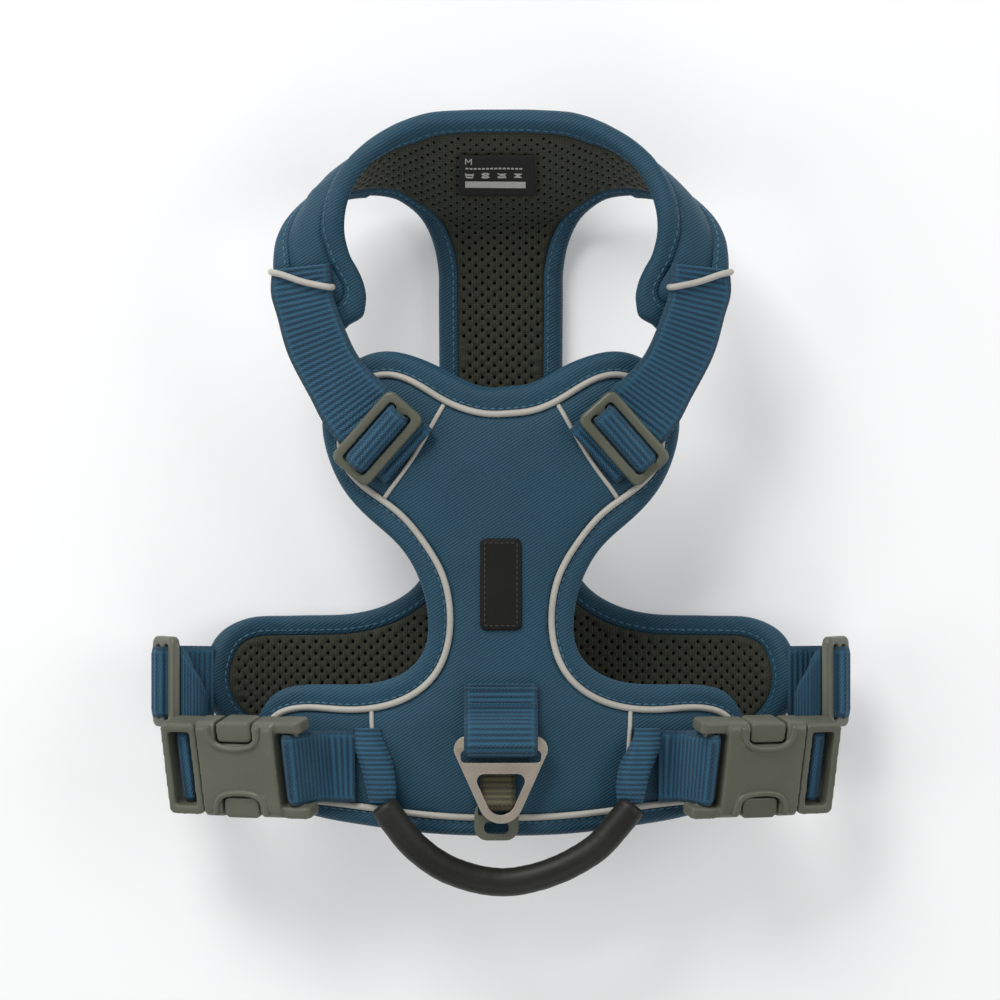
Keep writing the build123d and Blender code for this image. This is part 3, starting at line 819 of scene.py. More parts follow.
@dataclass(frozen=True)
class Webbing:
    """A woven strap between two edge lines, with ribs across it.

    Attributes:
        name: the piece's name.
        left: one edge's line, through the strap's thickness.
        right: the other edge's line.
        thickness: its thickness.
        rib: the pitch of its ribs.
        relief: the ribs' height.
    """

    name: str
    left: list[Vector]
    right: list[Vector]
    thickness: float
    rib: float = 1.9 * MM
    relief: float = 0.42 * MM

    @classmethod
    def straight(cls, name: str, line: Sequence[Vector], across: Vector, width: float, thickness: float,
                 rib: float = 1.9 * MM) -> "Webbing":
        """A strap whose width keeps one direction.

        Args:
            name: the piece's name.
            line: its middle line.
            across: the direction of its width.
            width: its width.
            thickness: its thickness.
            rib: the pitch of its ribs.

        Returns:
            The strap.
        """
        half = across.normalized() * width / 2
        return cls(name, [p + half for p in line], [p - half for p in line], thickness, rib)

    def build(self, material: bpy.types.Material) -> bpy.types.Object:
        """Make the strap as a closed mesh with a UV map in metres along and across it.

        Args:
            material: its finish.

        Returns:
            The new piece.
        """
        reach = (path_length(self.left) + path_length(self.right)) / 2
        steps = max(int(reach / self.rib * 7), 8)
        edges = [evenly(line, path_length(line) / steps) for line in (self.left, self.right)]
        count = min(len(edge) for edge in edges)
        ring = self.section(max(int((self.left[0] - self.right[0]).length / (1.3 * MM)), 6))
        points, uvs, faces, ridges = [], [], [], []
        for i in range(count):
            left, right = edges[0][i], edges[1][i]
            ahead, behind = min(i + 1, count - 1), max(i - 1, 0)
            along = edges[0][ahead] + edges[1][ahead] - edges[0][behind] - edges[1][behind]
            rise = along.cross(left - right).normalized()
            ridge = 0.5 + 0.5 * math.cos(2 * math.pi * i * reach / (count - 1) / self.rib)
            for u, v, share in ring:
                height = v * self.thickness / 2 + math.copysign((ridge ** 0.7 - 1.0) * self.relief * share, v)
                points.append(left.lerp(right, 0.5 + u / 2) + rise * height)
                # The rib's height also goes to the finish, which paints it as highlight on the crests and
                # shade in the troughs.
                ridges.append(1.0 + (ridge - 1.0) * share)
                uvs.append((i * reach / count, u * (left - right).length / 2 + 0.1 * v))
        sides = len(ring)
        for i in range(count - 1):
            for k in range(sides):
                a = i * sides + k
                b = i * sides + (k + 1) % sides
                faces.append((a, b, b + sides, a + sides))
        faces.append(tuple(range(sides))[::-1])
        faces.append(tuple(range(len(points) - sides, len(points))))
        piece = new_piece(self.name, points, faces, material)
        give_cloth(piece, uvs, ridges)
        return piece

    @staticmethod
    def section(columns: int) -> list[tuple[float, float, float]]:
        """The strap's section: place across, place through, and share of the ribs' height."""
        top = []
        for k in range(columns + 1):
            u = -1.0 + 2.0 * k / columns
            top.append((u, 1.0 if abs(u) < 0.97 else 0.5, 1.0 if abs(u) < 0.86 else 0.35))
        return top + [(u, -v, share) for u, v, share in reversed(top)]


def softened(name: str, nodes: Sequence[str], voxel: float, rounds: int,
             material: bpy.types.Material) -> bpy.types.Object:
    """A moulded copy of CAD nodes: remeshed finely, with its edges rounded a little.

    Args:
        name: the piece's name.
        nodes: the CAD nodes that it is made from.
        voxel: the remesh's spacing.
        rounds: how many times its edges are eased.
        material: its finish.

    Returns:
        The new piece, which stays within the nodes' own faces.
    """
    mesh = bmesh.new()
    for node in nodes:
        mesh.from_mesh(frame["nodes"][node].data)
    made = bpy.data.meshes.new(name)
    mesh.to_mesh(made)
    mesh.free()
    piece = bpy.data.objects.new(name, made)
    bpy.context.scene.collection.objects.link(piece)
    remesh = piece.modifiers.new("remesh", "REMESH")
    remesh.mode = "VOXEL"
    remesh.voxel_size = voxel
    remesh.adaptivity = 0.0
    ease = piece.modifiers.new("ease", "SMOOTH")
    ease.factor = 0.5
    ease.iterations = rounds
    trim = piece.modifiers.new("trim", "DECIMATE")
    trim.ratio = 0.42
    settle(piece)
    piece.data.materials.clear()
    piece.data.materials.append(material)
    piece.data.shade_smooth()
    return piece


# ------------------------------------------------------------------ padded panels
@dataclass(frozen=True)
class Pores:
    """The staggered holes of a spacer mesh.

    Attributes:
        pitch: from one hole to the next along a row, and from row to row.
        size: half of a hole's width and half of its height.
    """

    pitch: Point = (4.3 * MM, 2.05 * MM)
    size: Point = (0.62 * MM, 0.88 * MM)

    def centres(self, low: np.ndarray, high: np.ndarray) -> np.ndarray:
        """Every hole's middle inside a box of the pattern."""
        found = []
        first, last = int(low[1] / self.pitch[1]) - 1, int(high[1] / self.pitch[1]) + 2
        for row in range(first, last):
            shift = self.pitch[0] / 2 if row % 2 else 0.0
            start, end = int((low[0] - shift) / self.pitch[0]) - 1, int((high[0] - shift) / self.pitch[0]) + 2
            found += [(shift + column * self.pitch[0], row * self.pitch[1]) for column in range(start, end)]
        return np.array(found)

    def loop(self, centre: np.ndarray) -> list[Point]:
        """One hole's outline."""
        corners = ((1.0, 0.0), (0.42, 0.72), (-0.42, 0.72), (-1.0, 0.0), (-0.42, -0.72), (0.42, -0.72))
        return [(centre[0] + u * self.size[0], centre[1] + v * self.size[1]) for u, v in corners]


Profile = Callable[[np.ndarray], np.ndarray]


@dataclass
class Cloth:
    """One flat-cut layer that is laid on a curved surface.

    Attributes:
        outline: the cut's edge in the pattern, counter-clockwise.
        place: lays a point of the pattern at a depth along the surface's outward normal.
        step: the spacing of its mesh.
        opening: a closed line that is cut out of it.
        rows: more lines of points inside it, where its section bends most.
        pores: the holes through it.
    """

    outline: list[Vector]
    place: Callable[[float, float, float], Vector]
    step: float
    opening: list[Vector] = field(default_factory=list)
    rows: list[list[Vector]] = field(default_factory=list)
    pores: Optional[Pores] = None

    def build(self, name: str, material: bpy.types.Material, top: Profile,
              bottom: Profile) -> bpy.types.Object:
        """Make the layer as a closed mesh.

        Args:
            name: the piece's name.
            material: its finish.
            top: depth of its outer sheet at points of the pattern.
            bottom: depth of its inner sheet.

        Returns:
            The new piece.
        """
        edge = plan(self.outline)
        loops = [edge] + ([plan(self.opening)] if self.opening else [])
        every = np.vstack(loops)
        low, high = edge.min(0), edge.max(0)
        if self.pores:
            seats = self.pores.centres(low, high)
            seats = seats[inside(seats, edge)]
            seats = seats[distance_to(seats, every) > 1.9 * MM]
            extra = []
            loops += [np.array(self.pores.loop(seat)) for seat in seats]
        else:
            extra = [self.grid(low, high)] + [plan(row) for row in self.rows]
            extra = [part[inside(part, edge)] for part in extra]
            if self.opening:
                extra = [part[~inside(part, loops[1])] for part in extra]
            near = [self.step * 0.62] + [0.2 * MM] * len(self.rows)
            extra = [part[distance_to(part, every) > gap] for part, gap in zip(extra, near)]
            for row in extra[1:]:
                extra[0] = extra[0][distance_to(extra[0], row) > self.step * 0.6]
        coords = [Vector(p) for p in np.vstack(loops + extra)]
        edges = []
        start = 0
        for loop in loops:
            count = len(loop)
            edges += [(start + i, start + (i + 1) % count) for i in range(count)]
            start += count
        points, _, faces, _, _, _ = geometry.delaunay_2d_cdt(coords, edges, [], 0, 1e-9)
        points = np.array([(p.x, p.y) for p in points])
        faces = np.array([f for f in faces if len(f) == 3])
        middles = points[faces].mean(1)
        keep = inside(middles, edge)
        if self.opening:
            keep &= ~inside(middles, loops[1])
        if self.pores:
            keep &= distance_to(middles, seats) > 0.5 * MM
        return self.close(name, material, points, faces[keep], top(points), bottom(points))

    def grid(self, low: np.ndarray, high: np.ndarray) -> np.ndarray:
        """A staggered grid of points over a box of the pattern."""
        row = self.step * math.sqrt(3) / 2
        return np.array([(x + (self.step / 2 if j % 2 else 0.0), y)
                         for j, y in enumerate(np.arange(low[1], high[1], row))
                         for x in np.arange(low[0], high[0], self.step)])

    def close(self, name: str, material: bpy.types.Material, points: np.ndarray, faces: np.ndarray,
              upper: np.ndarray, lower: np.ndarray) -> bpy.types.Object:
        """Join an outer and an inner sheet into one closed mesh.

        Args:
            name: the piece's name.
            material: its finish.
            points: the sheet's points in the pattern.
            faces: its triangles.
            upper: the outer sheet's depth at each point.
            lower: the inner sheet's depth at each point.

        Returns:
            The new piece.
        """
        count = len(points)
        verts = [self.place(x, y, d) for (x, y), d in zip(points, upper)]
        verts += [self.place(x, y, d) for (x, y), d in zip(points, lower)]
        made = [tuple(f) for f in faces] + [tuple(f[::-1] + count) for f in faces]
        sides = {(f[k], f[(k + 1) % 3]) for f in faces.tolist() for k in range(3)}
        made += [(b, a, a + count, b + count) for a, b in sides if (b, a) not in sides]
        piece = new_piece(name, verts, made, material)
        mesh = bmesh.new()
        mesh.from_mesh(piece.data)
        bmesh.ops.delete(mesh, geom=[v for v in mesh.verts if not v.link_faces], context="VERTS")
        bmesh.ops.recalc_face_normals(mesh, faces=mesh.faces)
        mesh.to_mesh(piece.data)
        mesh.free()
        return piece


@dataclass
class Panel:
    """A padded panel: shell, core, perforated lining, and a rolled binding round its edge.

    Attributes:
        name: what its pieces' names start with.
        outline: its outer edge in the pattern, counter-clockwise.
        seam: where the binding meets the shell and the lining.
        place: lays a point of the pattern at a depth along the outward normal.
        shell_depth: depth of the shell's face at the seam.
        lining_depth: depth of the lining's face at the seam.
        puff: how far the filling pushes the shell out.
        crease: how deep the shell's wrinkles are.
        seed: where the wrinkles' noise is read.
    """

    name: str
    outline: list[Vector]
    seam: list[Vector]
    place: Callable[[float, float, float], Vector]
    shell_depth: float
    lining_depth: float
    puff: float
    crease: float
    seed: float

    def __post_init__(self) -> None:
        """Keep both lines as arrays for the section's distances."""
        self.edge_array = plan(self.outline)
        self.seam_array = plan(self.seam)

    def folds(self, points: np.ndarray) -> np.ndarray:
        """Wrinkles from 0 to 1 at points of the pattern: broad dents and a few sharper creases."""
        found = []
        for x, y in points:
            spot = Vector((x * 22.0 + self.seed, y * 13.0, self.seed))
            broad = noise.noise(spot)
            sharp = 1.0 - abs(noise.noise(spot * 2.3 + Vector((3.1, 0.0, 0.0)))) * 2.6
            found.append(0.6 * broad + 0.4 * max(sharp, 0.0) ** 2)
        return np.array(found)

    def shell_face(self, points: np.ndarray) -> np.ndarray:
        """The shell's outer depth: low at the seam, full in the middle, with wrinkles."""
        reach = distance_to(points, self.seam_array)
        rise = 1.0 - np.exp(-reach / (4.5 * MM))
        return self.shell_depth - 0.5 * MM + rise * (self.puff + 0.5 * MM + self.crease * self.folds(points))

    def lining_face(self, points: np.ndarray) -> np.ndarray:
        """The lining's inner depth, with a softer swell."""
        reach = distance_to(points, self.seam_array)
        return self.lining_depth + 0.5 * MM - (1.0 - np.exp(-reach / (4.0 * MM))) * 0.9 * MM

    def binding_swell(self, points: np.ndarray) -> np.ndarray:
        """Share of the binding's thickness at points: round at the edge, sunk at seam and stitches."""
        edge = distance_to(points, self.edge_array)
        seam = distance_to(points, self.seam_array)
        back = 1.0 - np.minimum(edge / (2.9 * MM), 1.0)
        dimple = 0.10 * np.exp(-((seam - 1.7 * MM) / (0.55 * MM)) ** 2)
        sunk = 0.30 * np.exp(-seam / (0.8 * MM))
        wobble = np.array([noise.noise(Vector((x * 60.0, y * 60.0, self.seed))) for x, y in points]) * 0.07
        return np.sqrt(np.maximum(1.0 - back ** 2, 0.004)) * (1.0 - dimple - sunk + wobble)

    def binding_top(self, points: np.ndarray) -> np.ndarray:
        """The binding's outer depth."""
        middle = (self.shell_depth + self.lining_depth) / 2
        return middle + (self.shell_depth - middle + 0.3 * MM) * self.binding_swell(points)

    def binding_bottom(self, points: np.ndarray) -> np.ndarray:
        """The binding's inner depth."""
        middle = (self.shell_depth + self.lining_depth) / 2
        return middle + (self.lining_depth - middle - 0.3 * MM) * self.binding_swell(points)

    def build(self, cover: bpy.types.Material, lining: bpy.types.Material,
              core: bpy.types.Material) -> dict[str, bpy.types.Object]:
        """Make the panel's four layers.

        Args:
            cover: the finish of the shell and the binding.
            lining: the lining's finish.
            core: the foam's finish.

        Returns:
            The pieces, by layer.
        """
        thin = 1.0 * MM
        shell = Cloth(self.seam, self.place, 2.2 * MM)
        rows = [inset(self.outline, distance) for distance in (0.35 * MM, 1.0 * MM, 1.9 * MM)]
        rows += [inset(self.seam, -distance) for distance in (0.7 * MM, 1.7 * MM)]
        rim = Cloth(self.outline, self.place, 1.9 * MM, self.seam, rows)
        knit = Cloth(self.seam, self.place, 2.0 * MM, pores=Pores())
        made = {
            "shell": shell.build(self.name + "_cover", cover, self.shell_face,
                                 lambda p: self.shell_face(p) - thin),
            "foam": shell.build(self.name + "_core", core, lambda p: self.shell_face(p) - thin,
                                lambda p: self.lining_face(p) + thin * 0.95),
            "lining": knit.build(self.name + "_knit", lining, lambda p: self.lining_face(p) + thin * 0.7,
                                 self.lining_face),
            "binding": rim.build(self.name + "_rim", cover, self.binding_top, self.binding_bottom),
        }
        return made

    def stitches(self, material: bpy.types.Material, both: bool = True) -> list[bpy.types.Object]:
        """The thread that holds the binding, on the shell's side and the lining's.

        Args:
            material: the thread's finish.
            both: whether the lining's side is sewn too.

        Returns:
            The rows.
        """
        line = evenly_closed(inset(self.seam, -1.7 * MM), 0.8 * MM)
        spots = plan(line)
        sides = [("outer", self.binding_top(spots), 0.06 * MM)]
        if both:
            sides.append(("inner", self.binding_bottom(spots), -0.06 * MM))
        made = []
        for word, depth, lift in sides:
            path = [self.place(x, y, d + lift) for (x, y), d in zip(spots, depth)]
            made.append(StitchRow(f"{self.name}_stitches_{word}", path, closed=True).build(material))
        return made


def evenly_closed(loop: Sequence[Vector], step: float) -> list[Vector]:
    """A closed line's points, spaced evenly."""
    return evenly(list(loop) + [loop[0]], step, closed=True)


def drawn_in(loop: list[Vector], distance: float, step: float) -> list[Vector]:
    """A closed line drawn in by a distance, without the loops that tight corners would leave."""
    edge = plan(loop)
    moved = inset(loop, distance)
    reach = distance_to(plan(moved), edge)
    return evenly_closed([p for p, r in zip(moved, reach) if r > distance * 0.985], step)


@dataclass(frozen=True)
class Arch:
    """The back plate's top surface: a shallow arch across the dog's back.

    Attributes:
        crest: its height in the middle.
        radius: its arch's radius.
    """

    crest: float = 44.0 * MM
    radius: float = 300.0 * MM

    def place(self, x: float, y: float, depth: float) -> Vector:
        """A point over the arch at a depth along its normal."""
        lean = x / self.radius
        up = math.sqrt(1.0 - lean * lean)
        return Vector((x + lean * depth, y, self.crest - self.radius + self.radius * up + up * depth))


@dataclass(frozen=True)
class ChestSurface:
    """The surface of the belly panel, the stem and the yoke, as one cut pattern.

    The pattern's X is the distance across, or along the yoke's middle line. Its Y is the place along
    the dog, and beyond the stem's top the distance up the yoke.

    Attributes:
        stations: the yoke's leg edge and neck edge, in millimetres, from its middle to its left end.
        stem_top: where the stem turns up into the yoke.
        half: half of the panels' thickness.
        flat_half: how far the belly panel is flat to each side.
        wing_radius: the radius that its wings curl up with.
    """

    stations: tuple = (
        ((0, 96.6, 4.7), (0, 132.5, 40)), ((-14, 97.0, 4.9), (-13, 132.3, 40.5)),
        ((-27, 100.5, 8.4), (-26, 131, 41.5)), ((-40, 106, 14), (-37, 126, 43.5)),
        ((-57, 105.5, 19), (-46, 118, 46)), ((-68.5, 98.5, 26), (-52, 108, 49)),
        ((-75.5, 89.5, 33), (-54, 96, 50.5)), ((-77.6, 80.5, 39.6), (-52, 85, 46.5)),
        ((-76.5, 72, 40), (-47, 75, 44.4)), ((-73, 64, 39.3), (-46, 66, 43.2)),
        ((-66, 58, 39.4), (-49, 58.5, 41.8)),
    )
    stem_top: float = 96.6 * MM
    half: float = 3.4 * MM
    flat_half: float = 72.0 * MM
    wing_radius: float = 45.0 * MM
    frames: list = field(default_factory=list)

    def __post_init__(self) -> None:
        """Fair the stations into close frames: distance along, both edges, and the outward normal."""
        left = [(Vector(a) * MM, Vector(b) * MM) for a, b in self.stations]
        flip = Vector((-1.0, 1.0, 1.0))
        right = [(a * flip, b * flip) for a, b in left[1:]]
        whole = right[::-1] + left
        low = self.fair([a for a, _ in whole])
        high = self.fair([b for _, b in whole])
        middle = [(a + b) * 0.5 for a, b in zip(low, high)]
        reach = [0.0]
        for a, b in zip(middle, middle[1:]):
            reach.append(reach[-1] + (b - a).length)
        centre = reach[-1] / 2
        last = len(middle) - 1
        for i, (a, b) in enumerate(zip(low, high)):
            along = middle[min(i + 3, last)] - middle[max(i - 3, 0)]
            outward_way = along.cross(b - a).normalized()
            self.frames.append((centre - reach[i], a, b, outward_way))
        self.frames.reverse()

    @staticmethod
    def fair(points: list[Vector]) -> list[Vector]:
        """A smooth line through points, with 14 steps for each span."""
        found = []
        last = len(points) - 1
        for i in range(last):
            a, b, c, d = (points[min(max(i + k - 1, 0), last)] for k in range(4))
            for k in range(14):
                t = k / 14.0
                found.append(0.5 * (2 * b + (c - a) * t + (2 * a - 5 * b + 4 * c - d) * t * t
                                    + (3 * b - a - 3 * c + d) * t ** 3))
        return found + [points[-1]]

    @property
    def reach(self) -> float:
        """How far each arm goes from the middle of the yoke, along its middle line."""
        return self.frames[-1][0]

    def frame_at(self, along: float) -> tuple[Vector, Vector, Vector]:
        """The yoke's leg edge, neck edge and outward normal at a distance along it, rightwards."""
        lows = self.frames
        first, last = 0, len(lows) - 1
        along = min(max(along, lows[0][0]), lows[-1][0])
        while last - first > 1:
            middle = (first + last) // 2
            if lows[middle][0] <= along:
                first = middle
            else:
                last = middle
        a, b = lows[first], lows[last]
        share = (along - a[0]) / max(b[0] - a[0], 1e-9)
        return a[1].lerp(b[1], share), a[2].lerp(b[2], share), a[3].lerp(b[3], share).normalized()

    def width(self, along: float) -> float:
        """The yoke's width at a distance along it."""
        low, high, _ = self.frame_at(along)
        return (high - low).length

    def belly(self, x: float, y: float) -> tuple[Vector, Vector]:
        """The belly panel's middle surface and outward normal over a point of its plan."""
        radius = self.wing_radius - self.half
        if abs(x) <= self.flat_half:
            return Vector((x, y, self.half)), Vector((0.0, 0.0, -1.0))
        side = math.copysign(1.0, x)
        lean = math.asin(min((abs(x) - self.flat_half) / radius, 0.85))
        spot = Vector((side * (self.flat_half + radius * math.sin(lean)), y,
                       self.wing_radius - radius * math.cos(lean)))
        return spot, Vector((side * math.sin(lean), 0.0, -math.cos(lean)))

    def place(self, x: float, y: float, depth: float) -> Vector:
        """Lay a point of the pattern at a depth outwards from the panels' middle surface."""
        low, high, way = self.frame_at(x)
        rise = y - self.stem_top
        down = Vector((0.0, 0.0, -1.0))
        if rise >= 0.0:
            turn = smoothstep(rise / (12.0 * MM) * 0.5 + 0.5) if abs(x) < 45.0 * MM else 1.0
            spot = low + (high - low).normalized() * rise
            return self.rested(spot + down.lerp(way, turn).normalized() * depth)
        spot, outward_way = self.belly(x, y)
        share = smoothstep(-rise / (20.0 * MM))
        edge = low + Vector((0.0, rise, rise * 0.25 * (1.0 - share)))
        turn = smoothstep(rise / (12.0 * MM) * 0.5 + 0.5)
        outward_way = outward_way.lerp(way, turn).normalized()
        return self.rested(edge.lerp(spot, share) + outward_way * depth)

    @staticmethod
    def rested(spot: Vector) -> Vector:
        """A point of the panel as it lies: the padding flattens softly where it meets the floor."""
        softness = 0.9 * MM
        return Vector((spot.x, spot.y, softness * math.log1p(math.exp(spot.z / softness))))


# ------------------------------------------------------------------ sub-assemblies
@dataclass
class BackPlate:
    """The padded back plate, its piping, and the blank stitched patch.

    Attributes:
        wardrobe: the finishes.
        arch: the surface that it lies on.
        piping_radius: the main piping's radius.
        thin_radius: the thin piping's radius.
        thin_lines: the thin piping's runs on the left half, in millimetres.
        patch_size: the patch's width and length.
        patch_y: where the patch's middle is.
        patch_rise: how far it stands over the shell.
    """

    wardrobe: Wardrobe
    arch: Arch = Arch()
    piping_radius: float = 1.1 * MM
    thin_radius: float = 0.75 * MM
    thin_lines: tuple = (((-19.5, 32.5), (-29.8, 14.6), (-39.6, 1.0)),
                         ((-44.2, -71.0), (-43.6, -80.0), (-43.0, -90.0)))
    patch_size: Point = (14.3 * MM, 31.5 * MM)
    patch_y: float = -28.5 * MM
    patch_rise: float = 1.5 * MM

    def panel(self) -> Panel:
        """The padded panel, cut to the CAD plate's own outline and seam."""
        outline = evenly_closed(flat(rim_loop("back_plate_binding")), 1.5 * MM)
        seam = evenly_closed(flat(rim_loop("back_plate_shell")), 1.5 * MM)
        return Panel("back_plate", outline, seam, self.arch.place, 0.0, -6.0 * MM, 1.3 * MM, 1.0 * MM, 4.0)

    def build(self) -> None:
        """Make the plate's pieces."""
        panel = self.panel()
        made = panel.build(self.wardrobe.twill, self.wardrobe.lining, self.wardrobe.foam)
        dress(made["shell"], "harness", "shell_twill", "back_plate_shell", soft=0.5)
        dress(made["foam"], "harness", "foam", "back_plate_foam")
        dress(made["lining"], "harness", "mesh_lining", "back_plate_lining")
        dress(made["binding"], "harness", "shell_twill", "back_plate_binding", soft=0.4)
        for row in panel.stitches(self.wardrobe.thread):
            dress(row, "harness", "blue_webbing")
        self.piping(panel)
        self.patch(panel)

    def piping(self, panel: Panel) -> None:
        """Lay the main piping on the seam and the thin piping on the shell's cross seams."""
        path = [self.arch.place(p.x, p.y, 0.25 * MM) for p in evenly_closed(panel.seam, 1.2 * MM)]
        main = tube("back_plate_bead", path, self.piping_radius, self.wardrobe.piping, closed=True)
        dress(main, "harness", "piping", "back_plate_piping")
        thin = None
        for side in Side:
            for run in self.thin_lines:
                line = spline_through([Vector((x * side.sign, y, 0.0)) * MM for x, y in run], 1.0 * MM)
                depth = panel.shell_face(plan(line))
                path = [self.arch.place(p.x, p.y, d + 0.15 * MM) for p, d in zip(line, depth)]
                bead = tube("seam_bead_" + side.word, path, self.thin_radius, self.wardrobe.piping)
                thin = bead if thin is None else merged(thin, bead)
        dress(thin, "harness", "piping", "back_plate_seam_piping")

    def patch(self, panel: Panel) -> None:
        """The blank patch: a rounded tile with a raised rim and a sewn border."""
        half_x, half_y = self.patch_size[0] / 2, self.patch_size[1] / 2
        outline = rounded_loop(half_x, half_y, 2.2 * MM, 0.8 * MM)
        outline = [p + Vector((0.0, self.patch_y, 0.0)) for p in outline]
        edge = plan(outline)

        def top(points: np.ndarray) -> np.ndarray:
            """The patch's face: rounded at its edge, with a pressed line under the thread."""
            reach = distance_to(points, edge)
            back = 1.0 - np.minimum(reach / (0.9 * MM), 1.0)
            pressed = 0.22 * MM * np.exp(-((reach - 1.7 * MM) / (0.4 * MM)) ** 2)
            middle = 0.12 * MM * (reach > 2.5 * MM)
            return 0.9 * MM + (self.patch_rise - 0.2 * MM) * np.sqrt(1.0 - back ** 2) - pressed - middle

        cloth = Cloth(outline, self.arch.place, 0.85 * MM, rows=[inset(outline, 0.3 * MM)])
        tile = cloth.build("blank_patch_tile", self.wardrobe.patch, top, lambda p: np.full(len(p), -0.3 * MM))
        dress(tile, "harness", "patch", "blank_patch")
        line = evenly_closed(inset(outline, 1.7 * MM), 0.8 * MM)
        path = [self.arch.place(p.x, p.y, d + 0.1 * MM) for p, d in zip(line, top(plan(line)))]
        row = StitchRow("blank_patch_stitches", path, 1.9 * MM, 1.5 * MM, 0.26 * MM, closed=True)
        dress(row.build(self.wardrobe.dark_thread), "harness", "patch")


def rounded_loop(half_x: float, half_y: float, radius: float, step: float) -> list[Vector]:
    """A rounded rectangle about the origin, counter-clockwise.

    Args:
        half_x: half of its width.
        half_y: half of its height.
        radius: its corners' radius.
        step: the spacing of its points.

    Returns:
        Its points.
    """
    found = []
    for corner, start in (((1, 1), 0.0), ((-1, 1), 90.0), ((-1, -1), 180.0), ((1, -1), 270.0)):
        centre = Vector((corner[0] * (half_x - radius), corner[1] * (half_y - radius), 0.0))
        for k in range(7):
            turn = math.radians(start + 15.0 * k)
            found.append(centre + Vector((math.cos(turn), math.sin(turn), 0.0)) * radius)
    return evenly_closed(found, step)


def merged(first: bpy.types.Object, second: bpy.types.Object) -> bpy.types.Object:
    """One piece from two: the second's mesh joins the first's, and the second is removed."""
    mesh = bmesh.new()
    mesh.from_mesh(first.data)
    mesh.from_mesh(second.data)
    mesh.to_mesh(first.data)
    mesh.free()
    bpy.data.objects.remove(second)
    return first


